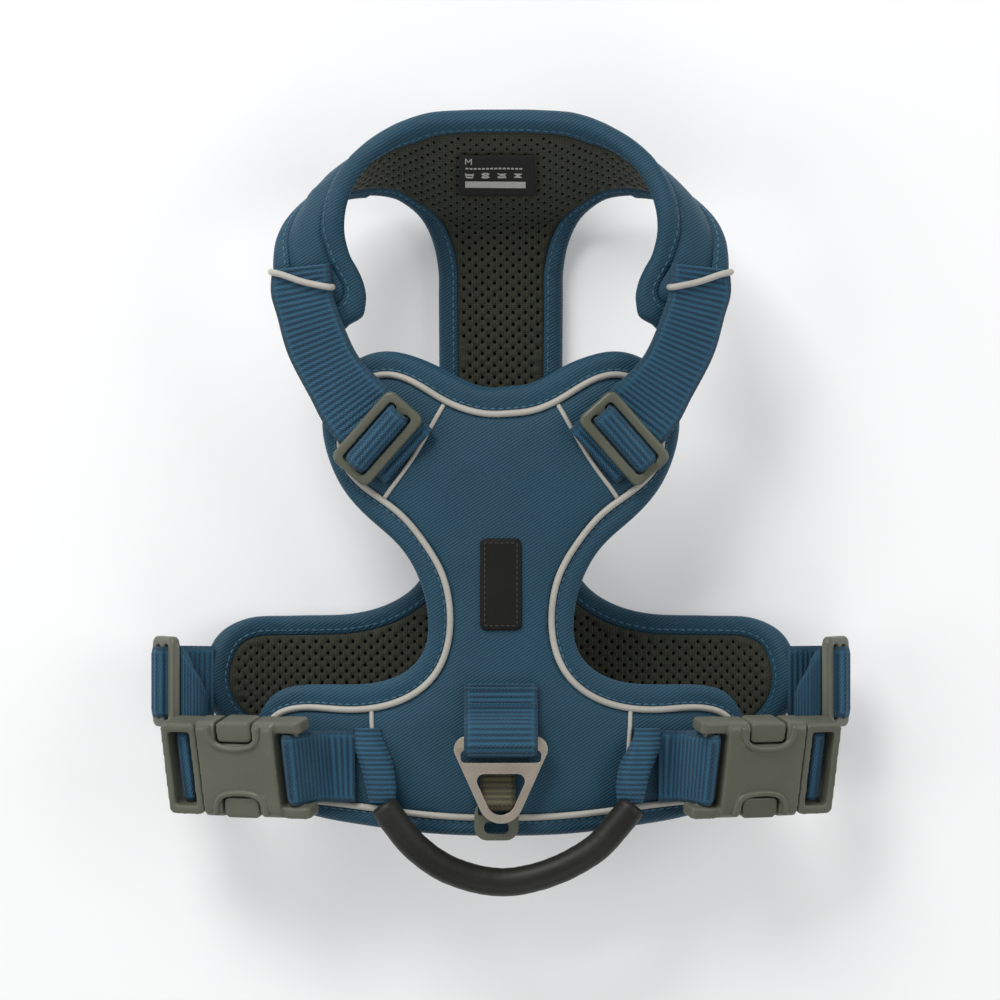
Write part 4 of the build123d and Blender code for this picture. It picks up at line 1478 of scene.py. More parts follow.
@dataclass
class ChestPanel:
    """The belly panel, the stem and the yoke, sewn as one, with the size label.

    Attributes:
        wardrobe: the finishes.
        surface: where the pattern is laid.
        binding: the binding's width.
        belly_half: the belly panel's left edge from the stem down, in millimetres.
        label_size: the woven label's width and height.
    """

    wardrobe: Wardrobe
    surface: ChestSurface = field(default_factory=ChestSurface)
    binding: float = 6.8 * MM
    belly_half: tuple = (
        (-21.7, 70), (-21.5, 40), (-21.5, 10), (-22.5, -15), (-28.5, -28), (-38, -35.5), (-52, -39.5),
        (-72, -40.2), (-88, -41), (-98, -47), (-102.5, -60), (-100, -72), (-92, -81), (-78, -86.5),
        (-50, -88.5), (-20, -90.5),
    )
    label_size: Point = (26.5 * MM, 18.5 * MM)

    def outline(self) -> list[Vector]:
        """The whole pattern's edge, counter-clockwise from the belly's bottom middle."""
        top = self.surface.stem_top / MM
        reach = self.surface.reach / MM
        left: list[Point] = [(0.0, -91.0)] + list(self.belly_half[::-1])
        left += [(-21.8, 80.0), (-23.6, 88.5), (-28.0, 94.6), (-35.0, top)]
        count = 22
        left += [(-35.0 - (reach - 39.0) * k / count, top) for k in range(1, count + 1)]
        arm = self.surface.width(-reach * MM) / MM
        left += [(-reach + 1.3, top + 1.4), (-reach, top + 4.5),
                 (-reach, top + arm - 4.5), (-reach + 1.3, top + arm - 1.4)]
        left += [(-reach + 4.2 + (reach - 4.2) * k / count, top + self.surface.width(
            (-reach + 4.2 + (reach - 4.2) * k / count) * MM) / MM) for k in range(count)]
        left.append((0.0, top + self.surface.width(0.0) / MM))
        right = [(-x, y) for x, y in left[1:-1]]
        whole = right + left[-1:] + left[-2:0:-1] + left[:1]
        points = [Vector((x, y, 0.0)) * MM for x, y in whole]
        return evenly_closed(spline_through(points, 0.5 * MM, closed=True), 1.6 * MM)

    def build(self) -> None:
        """Make the panel's pieces and its label."""
        outline = self.outline()
        area = sum(a.x * b.y - b.x * a.y for a, b in zip(outline, outline[1:] + outline[:1]))
        outline = outline if area > 0 else outline[::-1]
        seam = drawn_in(outline, self.binding, 1.5 * MM)
        panel = Panel("chest", outline, seam, self.surface.place, 3.2 * MM, -3.2 * MM,
                      1.2 * MM, 2.2 * MM, 9.0)
        made = panel.build(self.wardrobe.twill, self.wardrobe.lining, self.wardrobe.foam)
        dress(made["shell"], "harness", "shell_twill", "belly_shell", "yoke_shell", soft=0.5)
        dress(made["foam"], "harness", "foam", "belly_foam", "yoke_foam")
        dress(made["lining"], "harness", "mesh_lining", "belly_lining", "yoke_lining")
        dress(made["binding"], "harness", "shell_twill", "belly_binding", "yoke_neck_binding",
              "yoke_leg_binding", soft=0.4)
        for row in panel.stitches(self.wardrobe.thread):
            dress(row, "harness", "blue_webbing")
        self.label()

    def label(self) -> None:
        """The woven label on the yoke's lining: a size letter, care signs and a pale strip."""
        centre = Vector((-1.2 * MM, self.surface.stem_top + 26.0 * MM, 0.0))
        half_x, half_y = self.label_size[0] / 2, self.label_size[1] / 2
        outline = [p + centre for p in rounded_loop(half_x, half_y, 0.8 * MM, 1.0 * MM)]
        base = -4.35 * MM

        def wavy(points: np.ndarray) -> np.ndarray:
            """The label's face: almost flat, lifting a little between its sewn sides."""
            lift = [0.1 * MM * math.sin((x - centre.x) * 260.0) * math.sin(y * 300.0) for x, y in points]
            return base + np.array(lift)

        sheet = Cloth(outline, self.surface.place, 1.4 * MM)
        tag = sheet.build("size_label_cloth", self.wardrobe.label, wavy, lambda p: wavy(p) - 0.35 * MM)
        dress(tag, "harness", "label", "size_label")
        marks = None
        for spot, size, shape in self.marks():
            for low, high in shape:
                mark = self.bar(centre + spot * MM, low, high, size, base - 0.42 * MM)
                marks = mark if marks is None else merged(marks, mark)
        dress(marks, "harness", "label")

    def marks(self) -> list[tuple[Vector, float, list[tuple[Point, Point]]]]:
        """Every woven mark as its place, its scale, and its strokes in its own units."""
        letter = [((0, 0), (0, 3)), ((0, 3), (1.2, 1.2)), ((1.2, 1.2), (2.4, 3)), ((2.4, 3), (2.4, 0))]
        tub = [((0, 2), (0.4, 0)), ((0.4, 0), (2.8, 0)), ((2.8, 0), (3.2, 2)), ((0.2, 1.3), (3.0, 1.3))]
        square = [((0.6, 0), (0.6, 2)), ((0.6, 2), (2.6, 2)), ((2.6, 2), (2.6, 0)), ((2.6, 0), (0.6, 0)),
                  ((0, 0), (3.2, 2)), ((0, 2), (3.2, 0))]
        iron = [((0.3, 0), (3.3, 0)), ((3.3, 0), (2.6, 1.5)), ((2.6, 1.5), (1.2, 1.5)), ((0, 0), (3.4, 2)),
                ((0, 2), (3.4, 0))]
        cross = [((0, 0), (3.0, 2)), ((0, 2), (3.0, 0)), ((0.6, 0.3), (2.4, 0.3)), ((0.6, 1.7), (2.4, 1.7))]
        found = [(Vector((-11.2, 5.2, 0.0)), 0.85, letter)]
        signs = ((-11.2, tub), (-5.6, square), (0.0, iron), (5.8, cross))
        found += [(Vector((x, -0.6, 0.0)), 0.9, mark) for x, mark in signs]
        dashes = [((x, 0.0), (x + 1.0, 0.0)) for x in np.arange(0.0, 20.0, 1.45)]
        found.append((Vector((-11.2, 3.4, 0.0)), 1.0, dashes))
        strip = [((0.0, row), (21.0, row)) for row in (0.0, 0.55, 1.1, 1.65, 2.2)]
        found.append((Vector((-11.2, -5.0, 0.0)), 1.0, strip))
        return found

    def bar(self, spot: Vector, low: Point, high: Point, size: float, depth: float) -> bpy.types.Object:
        """One woven stroke, as a thin raised bar.

        Args:
            spot: the mark's lower left corner in the pattern.
            low: the stroke's start, in the mark's units.
            high: its end.
            size: millimetres for each unit.
            depth: how deep it lies on the panel.

        Returns:
            The stroke.
        """
        start = spot + Vector((low[0], low[1], 0.0)) * size * MM
        end = spot + Vector((high[0], high[1], 0.0)) * size * MM
        along = (end - start).normalized()
        side = Vector((-along.y, along.x, 0.0)) * (0.3 if low[1] == high[1] else 0.17) * MM
        corners = [start - side, end - side, end + side, start + side]
        points = [self.surface.place(p.x, p.y, depth) for p in corners]
        points += [self.surface.place(p.x, p.y, depth - 0.12 * MM) for p in corners]
        faces = [(0, 1, 2, 3), (7, 6, 5, 4), (0, 4, 5, 1), (1, 5, 6, 2), (2, 6, 7, 3), (3, 7, 4, 0)]
        piece = new_piece("size_label_marks", points, faces, self.wardrobe.print_grey, smooth=False)
        outward(piece)
        return piece


@dataclass(frozen=True)
class Axes:
    """A part's own frame: where it is, and which way its X, Y and Z point."""

    origin: Vector
    x: Vector
    y: Vector
    z: Vector

    def at(self, a: float, b: float, c: float) -> Vector:
        """A point from its own coordinates, in millimetres."""
        return self.origin + (self.x * a + self.y * b + self.z * c) * MM

    def turned(self, angle: float, lift: float) -> "Axes":
        """The same frame, turned about its Z and moved along it.

        Args:
            angle: the turn in degrees.
            lift: the move in millimetres.

        Returns:
            The new frame.
        """
        c, s = math.cos(math.radians(angle)), math.sin(math.radians(angle))
        return Axes(self.origin + self.z * lift * MM, self.x * c + self.y * s,
                    self.y * c - self.x * s, self.z)


@dataclass
class NeckStraps:
    """The two webbing straps from the yoke's arms to the back plate, with their sliders.

    Attributes:
        wardrobe: the finishes.
        spot: the slider's place in plan, in millimetres.
        rise: how the strap's plane rises with X and with Y.
        slider_turn: the slider's turn on the strap, in degrees.
        layers: the strap's doubled thickness in millimetres.
        slider_thick: the slider's thickness.
        left_edge: the strap's outer edge in plan, from the arm down.
        right_edge: its inner edge, from the arm down.
    """

    wardrobe: Wardrobe
    spot: Point = (-41.3, 21.6)
    rise: Point = (0.137, 0.11)
    slider_turn: float = 48.0
    layers: float = 2.8
    slider_thick: float = 3.2
    left_edge: tuple = ((-77, 79), (-77.5, 71), (-75.5, 63), (-72, 50), (-65, 36), (-57, 22), (-39.4, 5.7))
    right_edge: tuple = ((-57, 81), (-56.5, 73), (-55, 66), (-49.5, 52), (-44, 44.5), (-36, 37.2),
                         (-22.8, 24.1))

    def axes(self) -> Axes:
        """The strap's plane, with its origin under the slider."""
        height = Arch().place(self.spot[0] * MM, 0.0, 0.0).z + 2.1 * MM
        z = Vector((-self.rise[0], -self.rise[1], 1.0)).normalized()
        x = Vector((1.0, 0.0, self.rise[0])).normalized()
        return Axes(Vector((self.spot[0] * MM, self.spot[1] * MM, height)), x, z.cross(x), z)

    def build(self) -> None:
        """Make both sides' pieces: the left one, then its mirror image."""
        plane = self.axes()
        seat = plane.turned(self.slider_turn, self.layers + 0.3)
        made = [(self.strap(plane), "neck_webbing", "harness", "blue_webbing", self.wardrobe.webbing),
                (self.loop(seat), "neck_webbing_loop", "neck_slider", "blue_webbing", self.wardrobe.webbing),
                (self.bead(plane), "arm_piping", "harness", "piping", self.wardrobe.piping)]
        for left, node, body, slot, _ in made:
            place_pair(left, node, body, slot)
        for side in Side:
            shape = softened("neck_slider_body_" + side.word, ["neck_slider_" + side.word], 0.42 * MM, 9,
                             self.wardrobe.plastic)
            dress(shape, "neck_slider_" + side.word, "olive_plastic", "neck_slider_" + side.word)

    def strap(self, plane: Axes) -> bpy.types.Object:
        """The strap itself, between its two edges."""
        edges = []
        for edge in (self.left_edge, self.right_edge):
            points = [Vector((x - self.spot[0], y - self.spot[1], 0.0)) for x, y in edge]
            line = spline_through(points, 1.0)
            edges.append([plane.at(p.x, p.y, self.layers / 2) for p in line])
        return Webbing("neck_strap_left", edges[0], edges[1], self.layers * MM).build(self.wardrobe.webbing)

    def loop(self, seat: Axes) -> bpy.types.Object:
        """The bight of strap over the slider's middle bar."""
        crown = self.slider_thick + 1.9
        half = [(5.6, -1.0), (4.6, 0.2), (3.4, self.slider_thick * 0.62), (2.5, crown - 0.9),
                (1.2, crown - 0.1)]
        path = [(-a, b) for a, b in half] + [(0.0, crown)] + half[::-1]
        middle = spline_through([seat.at(0.0, a, b) for a, b in path], 0.3 * MM)
        return Webbing.straight("neck_bight_left", middle, seat.x, 24.6 * MM, 1.4 * MM, 1.75 * MM).build(
            self.wardrobe.webbing)

    def bead(self, plane: Axes) -> bpy.types.Object:
        """The piping along the end of the yoke's arm, over the strap."""
        low, high = self.layers / 2, self.layers + 1.0
        ends = ((-77.5, 78.2, low), (-76.4, 78.1, high - 0.3), (-73.0, 77.3, high), (-66.0, 74.9, high),
                (-58.6, 73.3, high), (-57.0, 73.0, high - 0.4), (-56.3, 72.9, low))
        line = spline_through([plane.at(x - self.spot[0], y - self.spot[1], z) for x, y, z in ends], 1.0 * MM)
        return tube("arm_bead_left", line, 1.1 * MM, self.wardrobe.piping)


def place_pair(left: bpy.types.Object, node: str, body: str, slot: str) -> None:
    """Dress a left piece and its mirror image.

    Args:
        left: the left piece.
        node: the CAD nodes' name without its side; empty if it stands for none.
        body: the body's name without its side, or harness.
        slot: the record's material slot.
    """
    base = left.name.removesuffix("_left")
    left.name = base + "_left"
    right = mirrored(left, base + "_right")
    for side, piece in ((Side.LEFT, left), (Side.RIGHT, right)):
        rides = body if body in frame["bodies"] else f"{body}_{side.word}"
        nodes = [f"{node}_{side.word}"] if node else []
        dress(piece, rides, slot, *nodes)


@dataclass
class Buckles:
    """Both side-release buckles, with the webbing that each half holds.

    Attributes:
        wardrobe: the finishes.
        centre: the left buckle's middle, in millimetres.
        pitch: how its outer end dips, in degrees.
        roll: how it leans back, in degrees.
        inner_bar: the socket's bar, along the buckle.
        outer_bar: the plug's bar.
    """

    wardrobe: Wardrobe
    centre: tuple[float, float, float] = (-87.5, -90.5, 41.5)
    pitch: float = 24.0
    roll: float = 14.0
    inner_bar: float = -20.0
    outer_bar: float = 21.3

    def axes(self) -> Axes:
        """The left buckle's own frame: X outwards along it, Z out of its top."""
        pitch, roll = math.radians(self.pitch), math.radians(self.roll)
        x = Vector((-math.cos(pitch), 0.0, -math.sin(pitch)))
        level = Vector((-math.sin(pitch), 0.0, math.cos(pitch)))
        z = level * math.cos(roll) + Vector((0.0, -math.sin(roll), 0.0))
        return Axes(Vector(self.centre) * MM, x, z.cross(x), z)

    def build(self) -> None:
        """Make both buckles' pieces."""
        for side in Side:
            word = side.word
            body = softened("socket_" + word, ["buckle_female_" + word], 0.5 * MM, 8, self.wardrobe.plastic)
            dress(body, "harness", "olive_plastic", "buckle_female_" + word)
            plug = softened("plug_" + word, ["buckle_male_" + word], 0.5 * MM, 8, self.wardrobe.plastic)
            dress(plug, "buckle_plug_" + word, "olive_plastic", "buckle_male_" + word)
            for end in ("front", "rear"):
                arm = softened(f"thumb_latch_{end}_{word}", [f"latch_arm_{end}_{word}"], 0.45 * MM, 8,
                               self.wardrobe.plastic)
                dress(arm, f"latch_{end}_{word}", "olive_plastic", f"latch_arm_{end}_{word}")
        axes = self.axes()
        place_pair(self.bight(axes), "male_webbing_loop", "buckle_plug", "blue_webbing")
        dress(self.tail(axes, -49.5), "harness", "blue_webbing", "buckle_webbing_left")
        wide = self.tail(axes, -53.6)
        right = mirrored(wide, "socket_strap_right")
        bpy.data.objects.remove(wide)
        dress(right, "harness", "blue_webbing", "buckle_webbing_right")
        place_pair(self.lips(axes), "", "harness", "olive_plastic")

    def bight(self, axes: Axes) -> bpy.types.Object:
        """The girth strap's bight round the plug's bar."""
        turns = [math.radians(a) for a in range(-150, 211, 15)]
        path = [axes.at(self.outer_bar + 2.3 * math.cos(t), 0.0, -0.9 + 3.0 * math.sin(t)) for t in turns]
        strap = Webbing.straight("plug_bight_left", path, axes.y, LAID_WIDTH, STRAP_THICK)
        return strap.build(self.wardrobe.webbing)

    def tail(self, axes: Axes, inner: float) -> bpy.types.Object:
        """The doubled strap sewn on the back plate and looped round the socket's bar.

        Args:
            axes: the left buckle's frame.
            inner: where the strap starts on the plate, in millimetres.

        Returns:
            The left strap.
        """
        lines = []
        for across in (12.4, -12.4):
            bar = axes.at(self.inner_bar, across, 0.0)
            y = bar.y
            path = [Vector((x * MM, y, Arch().place(x * MM, 0.0, 0.0).z + lift * MM))
                    for x, lift in ((inner, 0.9), (-57.0, 1.1), (-61.0, 2.0))]
            path += [bar + (-axes.x * c + axes.z * s) * 3.3 * MM
                     for c, s in ((0.35, -0.95), (-0.7, -0.75), (-1.0, 0.0), (-0.7, 0.75), (0.1, 1.0))]
            path += [Vector((x * MM, y, Arch().place(x * MM, 0.0, 0.0).z + lift * MM))
                     for x, lift in ((-61.5, 4.9), (-57.5, 3.4), (inner, 2.9))]
            lines.append(spline_through(path, 0.4 * MM))
        strap = Webbing("socket_strap_left", lines[0], lines[1], 1.5 * MM)
        return strap.build(self.wardrobe.webbing)

    def lips(self, axes: Axes) -> bpy.types.Object:
        """The raised U-shaped rim round each thumb window on the socket's top."""
        made = None
        half = [(-9.6, 15.6), (-8.9, 11.4), (-6.6, 8.9), (-2.5, 7.9)]
        points = half + [(-a, b) for a, b in half[::-1]]
        for way in (-1.0, 1.0):
            line = spline_through([axes.at(a, b * way, 5.55) for a, b in points], 0.6 * MM)
            lip = tube("window_rims_left", line, 1.15 * MM, self.wardrobe.plastic, sides=12)
            made = lip if made is None else merged(made, lip)
        return made


@dataclass
class GirthStraps:
    """The straps from the belly's wings, through their sliders, up to the plugs.

    Attributes:
        wardrobe: the finishes.
        centre: the left slider's middle, in millimetres.
        lean: how far the slider leans outwards, in degrees.
        fold_centre: the middle of the fold under the plug, in X and Z.
        drift: how far the fold runs back along Y.
    """

    wardrobe: Wardrobe
    centre: tuple[float, float, float] = (-114.4, -62.6, 19.8)
    lean: float = 30.0
    fold_centre: Point = (-105.5, 24.0)
    drift: float = 27.5

    def axes(self) -> Axes:
        """The left slider's frame: X along the slider, Z out of its face."""
        lean = math.radians(self.lean)
        x = Vector((0.0, -1.0, 0.0))
        z = Vector((-math.cos(lean), 0.0, math.sin(lean)))
        return Axes(Vector(self.centre) * MM, x, z.cross(x), z)

    def build(self) -> None:
        """Make both sides' pieces."""
        axes = self.axes()
        up = Vector((math.sin(math.radians(self.lean)), 0.0, math.cos(math.radians(self.lean))))
        place_pair(self.strap(axes, up), "girth_webbing", "harness", "blue_webbing")
        place_pair(self.bight(axes), "girth_webbing_loop", "girth_slider", "blue_webbing")
        for side in Side:
            shape = softened("girth_slider_body_" + side.word, ["girth_slider_" + side.word], 0.42 * MM, 9,
                             self.wardrobe.plastic)
            dress(shape, "girth_slider_" + side.word, "olive_plastic", "girth_slider_" + side.word)
        self.folds(axes, up)

    def strap(self, axes: Axes, up: Vector) -> bpy.types.Object:
        """From the wing's rim to behind the slider."""
        knots = ((-99.5, 17.4), (-103.4, 16.3), (-107.0, 14.7), (-111.2, 14.0), (-114.0, 16.0))
        path = [Vector((x, self.centre[1], z)) * MM for x, z in knots]
        path += [axes.origin + up * reach * MM - axes.z * 1.05 * MM for reach in (-1.0, 3.0, 7.4)]
        middle = spline_through(path, 0.4 * MM)
        strap = Webbing.straight("girth_strap_left", middle, axes.x, LAID_WIDTH, 1.5 * MM)
        return strap.build(self.wardrobe.webbing)

    def bight(self, axes: Axes) -> bpy.types.Object:
        """The bight over the slider's middle bar."""
        half = [(-3.3, 0.5), (-3.1, 2.4), (-2.2, 4.9), (-0.8, 5.6)]
        path = half + [(-a, b) for a, b in half[::-1]]
        middle = spline_through([axes.at(0.0, a, b) for a, b in path], 0.3 * MM)
        strap = Webbing.straight("girth_bight_left", middle, axes.x, LAID_WIDTH, STRAP_THICK)
        return strap.build(self.wardrobe.webbing)

    def folds(self, axes: Axes, up: Vector) -> None:
        """The strap's run from each slider back to its plug, laid in a fixed fold."""
        path = [axes.origin + up * 7.0 * MM - axes.z * 1.0 * MM]
        for i in range(10):
            turn = math.radians(128 - 26 * i)
            path.append(Vector((self.fold_centre[0] + 3.4 * math.cos(turn),
                                self.centre[1] - self.drift * (i + 1) / 10,
                                self.fold_centre[1] + 3.9 * math.sin(turn))) * MM)
        line = spline_through(path, 0.4 * MM)
        strap = Webbing.straight("girth_run_left", line, axes.x, 23.6 * MM, 1.4 * MM)
        left = strap.build(self.wardrobe.webbing)
        right = mirrored(left, "girth_run_right")
        for side, piece in ((Side.LEFT, left), (Side.RIGHT, right)):
            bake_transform(piece)
            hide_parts("girth_webbing_fold_" + side.word)


@dataclass
class Rings:
    """The lead ring, the tag ring and the chest ring, with the webbing that holds each.

    Attributes:
        wardrobe: the finishes.
        lead_pivot: the lead ring's bar, in Y and Z, in millimetres.
        tag_pivot: the tag ring's bar.
        chest_pivot: the chest ring's bar.
    """

    wardrobe: Wardrobe
    lead_pivot: Point = (-82.2, 50.5)
    tag_pivot: Point = (-102.9, 46.5)
    chest_pivot: Point = (123.6, 21.3)
    crest: float = 44.0

    def build(self) -> None:
        """Make the rings' pieces."""
        ring = bevelled("lead_ring_plate", "lead_ring", 0.55 * MM, self.wardrobe.metal)
        dress(ring, "lead_ring", "ring_metal", "lead_ring")
        tag = bevelled("tag_ring_plate", "tag_ring", 0.3 * MM, self.wardrobe.plastic)
        dress(tag, "tag_ring", "olive_plastic", "tag_ring")
        chest = softened("chest_ring_wire", ["chest_ring"], 0.35 * MM, 14, self.wardrobe.metal)
        dress(chest, "chest_ring", "ring_metal", "chest_ring")
        self.lead_strap()
        self.strip("tag_strip", self.tag_pivot, 2.0, -1.0, 12.0, 0.8,
                   ((-89.0, 44.6), (-100.0, 44.6)), ((-98.5, 46.9), (-94.0, 45.9), (-89.0, 45.4)),
                   "tag_ring_webbing", self.wardrobe.tape, "khaki_webbing")
        root = math.sqrt(0.5)
        y, z = self.chest_pivot
        before, after = (tuple((y + root * (a + b), z + root * (a - b)) for a, b in run) for run in (
            ((14.5, -3.6), (4, -3.0)), ((5, 1.4), (9, -1.0), (11, -1.9), (14.5, -2.3))))
        self.strip("chest_strip", self.chest_pivot, 2.8, 0.0, 14.6, 1.2, before, after,
                   "chest_ring_webbing", self.wardrobe.webbing, "blue_webbing")

    def lead_strap(self) -> None:
        """The wide strap round the lead ring's bar, with its bartacks."""
        before = ((-62.2, self.crest + 0.9), (-74.0, self.crest + 0.9))
        after = ((-77.0, self.lead_pivot[1] + 2.0), (-73.0, self.crest + 4.2), (-69.5, self.crest + 3.1),
                 (-62.2, self.crest + 2.9))
        self.strip("lead_strap", self.lead_pivot, 3.8, 0.0, 25.0, 1.4, before, after,
                   "lead_ring_webbing", self.wardrobe.webbing, "blue_webbing")
        for k, y in enumerate((-63.6, -68.9)):
            line = [Vector((x, y, self.crest + 3.85 - 0.1 * k)) * MM for x in np.linspace(-11.8, 11.8, 40)]
            row = StitchRow(f"lead_bartack_{k}", line, 0.62 * MM, 2.0 * MM, 0.2 * MM, swing=74.0)
            dress(row.build(self.wardrobe.thread), "harness", "blue_webbing")

    def strip(self, name: str, pivot: Point, reach: float, middle: float, width: float, thick: float,
              before: Sequence[Point], after: Sequence[Point], node: str, material: bpy.types.Material,
              slot: str) -> None:
        """A strip of webbing that goes round a ring's bar and back.

        Args:
            name: the piece's name.
            pivot: the bar, in Y and Z.
            reach: the strip's middle line's distance from the bar.
            middle: the strip's place across, in X.
            width: its width.
            thick: its thickness.
            before: its run to the bar, in Y and Z.
            after: its run back.
            node: the CAD node that it stands for.
            material: its finish.
            slot: the record's material slot.
        """
        turns = [math.radians(angle) for angle in range(-90, -271, -15)]
        path = list(before)
        path += [(pivot[0] + reach * math.cos(t), pivot[1] + reach * math.sin(t)) for t in turns]
        path += list(after)
        line = spline_through([Vector((middle, y, z)) * MM for y, z in path], 0.35 * MM)
        strap = Webbing.straight(name, line, Vector((1.0, 0.0, 0.0)), width * MM, thick * MM)
        dress(strap.build(material), "harness", slot, node)


def bevelled(name: str, node: str, width: float, material: bpy.types.Material) -> bpy.types.Object:
    """A pressed copy of a CAD node, with its sharp edges bevelled.

    Args:
        name: the piece's name.
        node: the CAD node.
        width: the bevel's width.
        material: its finish.

    Returns:
        The new piece.
    """
    piece = bpy.data.objects.new(name, frame["nodes"][node].data.copy())
    bpy.context.scene.collection.objects.link(piece)
    mesh = bmesh.new()
    mesh.from_mesh(piece.data)
    bmesh.ops.remove_doubles(mesh, verts=mesh.verts, dist=2e-6)
    bmesh.ops.dissolve_limit(mesh, angle_limit=math.radians(1.0), verts=mesh.verts, edges=mesh.edges)
    mesh.to_mesh(piece.data)
    mesh.free()
    cut = piece.modifiers.new("edges", "BEVEL")
    cut.width = width
    cut.segments = 3
    cut.limit_method = "ANGLE"
    cut.angle_limit = math.radians(35.0)
    settle(piece)
    piece.data.materials.clear()
    piece.data.materials.append(material)
    piece.data.shade_smooth()
    piece.data.set_sharp_from_angle(angle=math.radians(40.0))
    return piece


@dataclass
class Handle:
    """The carry handle: a rubber tube over a webbing core, sewn on by rolled webbing.

    Attributes:
        wardrobe: the finishes.
        corners: the tube's middle line, in millimetres.
        radius: the tube's radius.
        anchors: the rolled webbing's sections: X, Y, width, height, and its base over the plate.
    """

    wardrobe: Wardrobe
    corners: tuple = ((-40, -103, 48.0), (-35.5, -109.8, 48.2), (-27.5, -118.8, 48.4), (-15.5, -126.2, 47.6),
                      (0.5, -129.6, 46.9), (16.5, -126.4, 47.6), (31.0, -118.8, 48.4), (39.8, -109.8, 48.2),
                      (45, -103, 48.0))
    radius: float = 4.85
    anchors: tuple = ((-45.6, -77.5, 8.8, 2.8, 1.2), (-45.4, -80.5, 9.4, 4.0, 1.2),
                      (-44.2, -84.5, 11.2, 6.8, 1.2), (-42.6, -88.5, 11.8, 8.0, 1.2),
                      (-41.2, -93.0, 11.2, 8.4, 1.2), (-40.4, -98.0, 10.2, 8.6, 1.0),
                      (-40.1, -102.4, 8.6, 7.4, 1.2))

    def build(self) -> None:
        """Make the tube, its core, and the rolled webbing at both ends."""
        line = spline_through([Vector(p) * MM for p in self.corners], 0.7 * MM)
        grip = self.grip(line)
        dress(grip, "handle", "handle_rubber", "handle_tube", "handle_core", soft=0.8)
        for side in Side:
            self.anchor(side)

    def grip(self, line: list[Vector]) -> bpy.types.Object:
        """The tube, with faint creases on the inside of its bends."""
        sides = 28
        points, faces = [], []
        count = len(line)
        for i, spot in enumerate(line):
            along = (line[min(i + 1, count - 1)] - line[max(i - 1, 0)]).normalized()
            across = along.cross(Vector((0.0, 0.0, 1.0))).normalized()
            rise = across.cross(along)
            end = min(i, count - 1 - i)
            close = 1.0 - 0.22 * max(0.0, 1.0 - end / 3.0) ** 2
            for k in range(sides):
                turn = 2 * math.pi * k / sides
                ruck = noise.noise(Vector((i * 0.32, math.cos(turn) * 0.7, math.sin(turn) * 0.7)))
                size = self.radius * close * (1.0 + 0.022 * ruck) * MM
                points.append(spot + (across * math.cos(turn) + rise * math.sin(turn)) * size)
        for i in range(count - 1):
            for k in range(sides):
                a, b = i * sides + k, i * sides + (k + 1) % sides
                faces.append((a, b, b + sides, a + sides))
        faces.append(tuple(range(sides))[::-1])
        faces.append(tuple(range(len(points) - sides, len(points))))
        piece = new_piece("handle_grip", points, faces, self.wardrobe.rubber)
        outward(piece)
        return piece

    def anchor(self, side: Side) -> None:
        """One end's rolled webbing: gathered, ribbed, and blended into the handle's swing."""
        name = "handle_roll_" + side.word
        arch = Arch()
        knots = []
        for x, y, width, height, lift in self.anchors:
            base = arch.place(x * MM, 0.0, 0.0).z / MM
            spread = 0.0 if side is Side.LEFT else HANDLE_SHIFT
            middle = Vector((x * side.sign + spread, y, base + lift + height / 2))
            knots.append((middle, width / 2, height / 2))
        spots = spline_through([k[0] for k in knots], 0.32)
        reach = [(p - knots[0][0]).length for p in (k[0] for k in knots)]
        sides = 44
        points, uvs, faces, ridges = [], [], [], []
        for i, spot in enumerate(spots):
            gone = (spot - knots[0][0]).length
            wide = float(np.interp(gone, reach, [k[1] for k in knots]))
            high = float(np.interp(gone, reach, [k[2] for k in knots]))
            rib = 0.5 + 0.5 * math.cos(i * 0.32 / 1.75 * 2 * math.pi)
            for k in range(sides):
                turn = 2 * math.pi * k / sides
                gather = 0.05 * math.cos(turn * 5.0 + i * 0.05) + 0.04 * math.cos(turn * 3.0 - i * 0.03)
                size = 1.0 + gather - 0.045 * (1.0 - rib)
                reach_out = Vector((math.cos(turn) * wide * size, 0.0, math.sin(turn) * high * size))
                points.append((spot + reach_out) * MM)
                uvs.append((i * 0.32 * MM, turn * wide * MM))
                # The rib's height goes to the finish as painted highlight and shade on the roll's ribs.
                ridges.append(rib)
        for i in range(len(spots) - 1):
            for k in range(sides):
                a, b = i * sides + k, i * sides + (k + 1) % sides
                faces.append((a, b, b + sides, a + sides))
        faces.append(tuple(range(sides))[::-1])
        faces.append(tuple(range(len(points) - sides, len(points))))
        piece = new_piece(name, points, faces, self.wardrobe.webbing)
        give_cloth(piece, uvs, ridges)
        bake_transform(piece)
        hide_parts("handle_anchor_" + side.word)


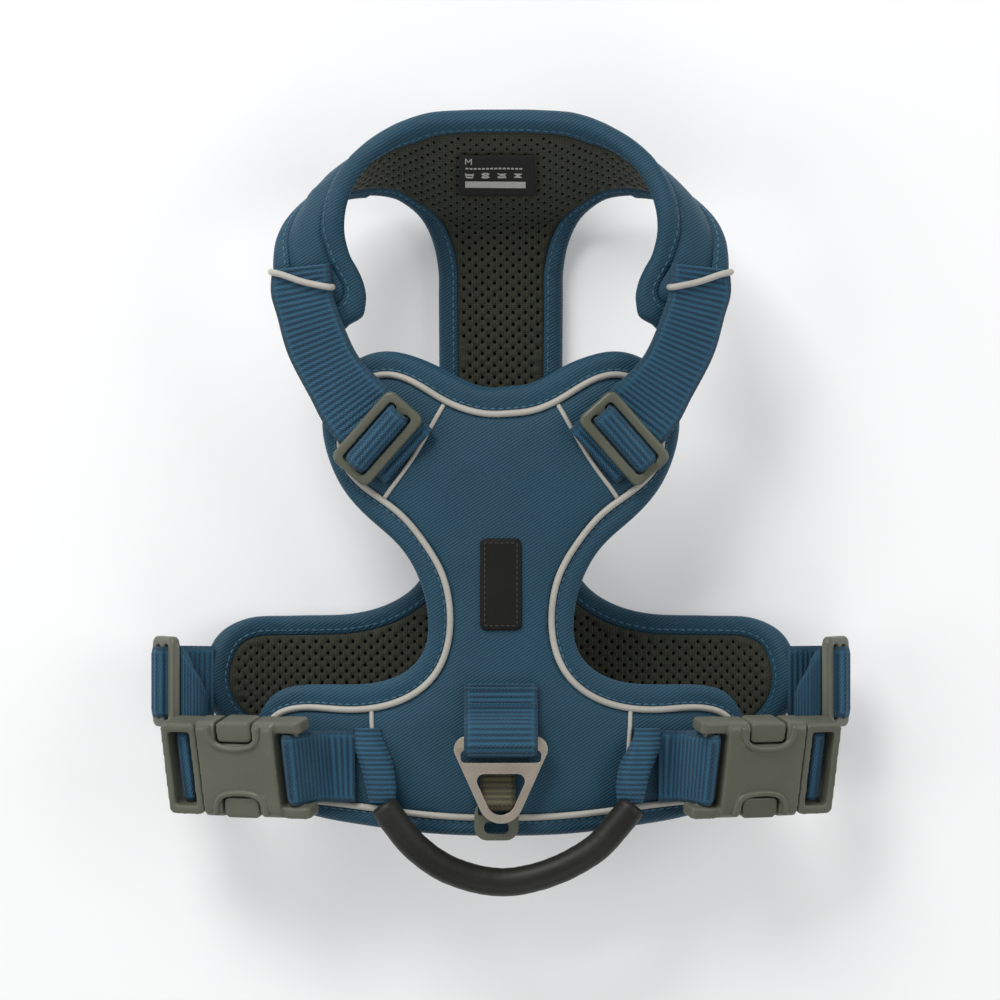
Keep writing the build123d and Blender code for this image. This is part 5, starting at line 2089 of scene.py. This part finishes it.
@dataclass
class Studio:
    """The pale floor, the soft lights and the overhead camera.

    Attributes:
        height: the camera's height.
        view: how wide the picture is at the height of the back plate's crest.
        crest: that height.
    """

    height: float = 1.5
    view: float = 0.340
    crest: float = 0.045

    def camera(self) -> None:
        """Look straight down, with the dog's head at the top of the picture."""
        data = bpy.data.cameras.new("overhead")
        data.sensor_width = 36.0
        data.lens = 36.0 * (self.height - self.crest) / self.view
        camera = bpy.data.objects.new("overhead", data)
        camera.location = (-0.0003, 0.0002, self.height)
        bpy.context.scene.collection.objects.link(camera)
        bpy.context.scene.camera = camera

    def lights(self) -> None:
        """A pale floor, a large soft key, a fill from the left and a pale world."""
        sheet = NodeSheet("pale_floor")
        sheet.set(Base_Color=(0.74, 0.74, 0.74, 1.0), Roughness=0.9, Emission_Color=(1.0, 1.0, 1.0, 1.0),
                  Emission_Strength=0.22)
        corners = [(-3.0, -3.0, -0.0002), (3.0, -3.0, -0.0002), (3.0, 3.0, -0.0002), (-3.0, 3.0, -0.0002)]
        new_piece("floor", corners, [(0, 1, 2, 3)], sheet.material, smooth=False)
        world = bpy.data.worlds.new("studio")
        world.use_nodes = True
        world.node_tree.nodes["Background"].inputs[0].default_value = (0.95, 0.97, 1.0, 1.0)
        world.node_tree.nodes["Background"].inputs[1].default_value = 0.30
        bpy.context.scene.world = world
        bpy.context.scene.view_settings.view_transform = "Standard"
        lamps = (("key", (-0.55, 1.15, 0.95), 0.7, 17.5), ("fill", (-1.1, -0.1, 0.7), 0.8, 4.5),
                 ("side", (1.15, 0.15, 0.75), 0.8, 5.5), ("front", (0.2, -1.15, 0.8), 0.7, 3.0))
        for name, spot, size, power in lamps:
            data = bpy.data.lights.new(name, "AREA")
            data.energy = power
            data.size = size
            lamp = bpy.data.objects.new(name, data)
            lamp.location = spot
            lamp.rotation_euler = (-Vector(spot)).to_track_quat("-Z", "Y").to_euler()
            bpy.context.scene.collection.objects.link(lamp)


def main() -> None:
    """Build the scene in order."""
    logging.basicConfig(level=logging.INFO, format="%(message)s")
    studio = Studio()
    studio.camera()
    wardrobe = Wardrobe()
    for part in (BackPlate(wardrobe), ChestPanel(wardrobe), NeckStraps(wardrobe), Buckles(wardrobe),
                 GirthStraps(wardrobe), Rings(wardrobe), Handle(wardrobe)):
        LOG.info("building %s", type(part).__name__)
        part.build()
    studio.lights()
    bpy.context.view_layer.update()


if __name__ == "__main__":
    main()
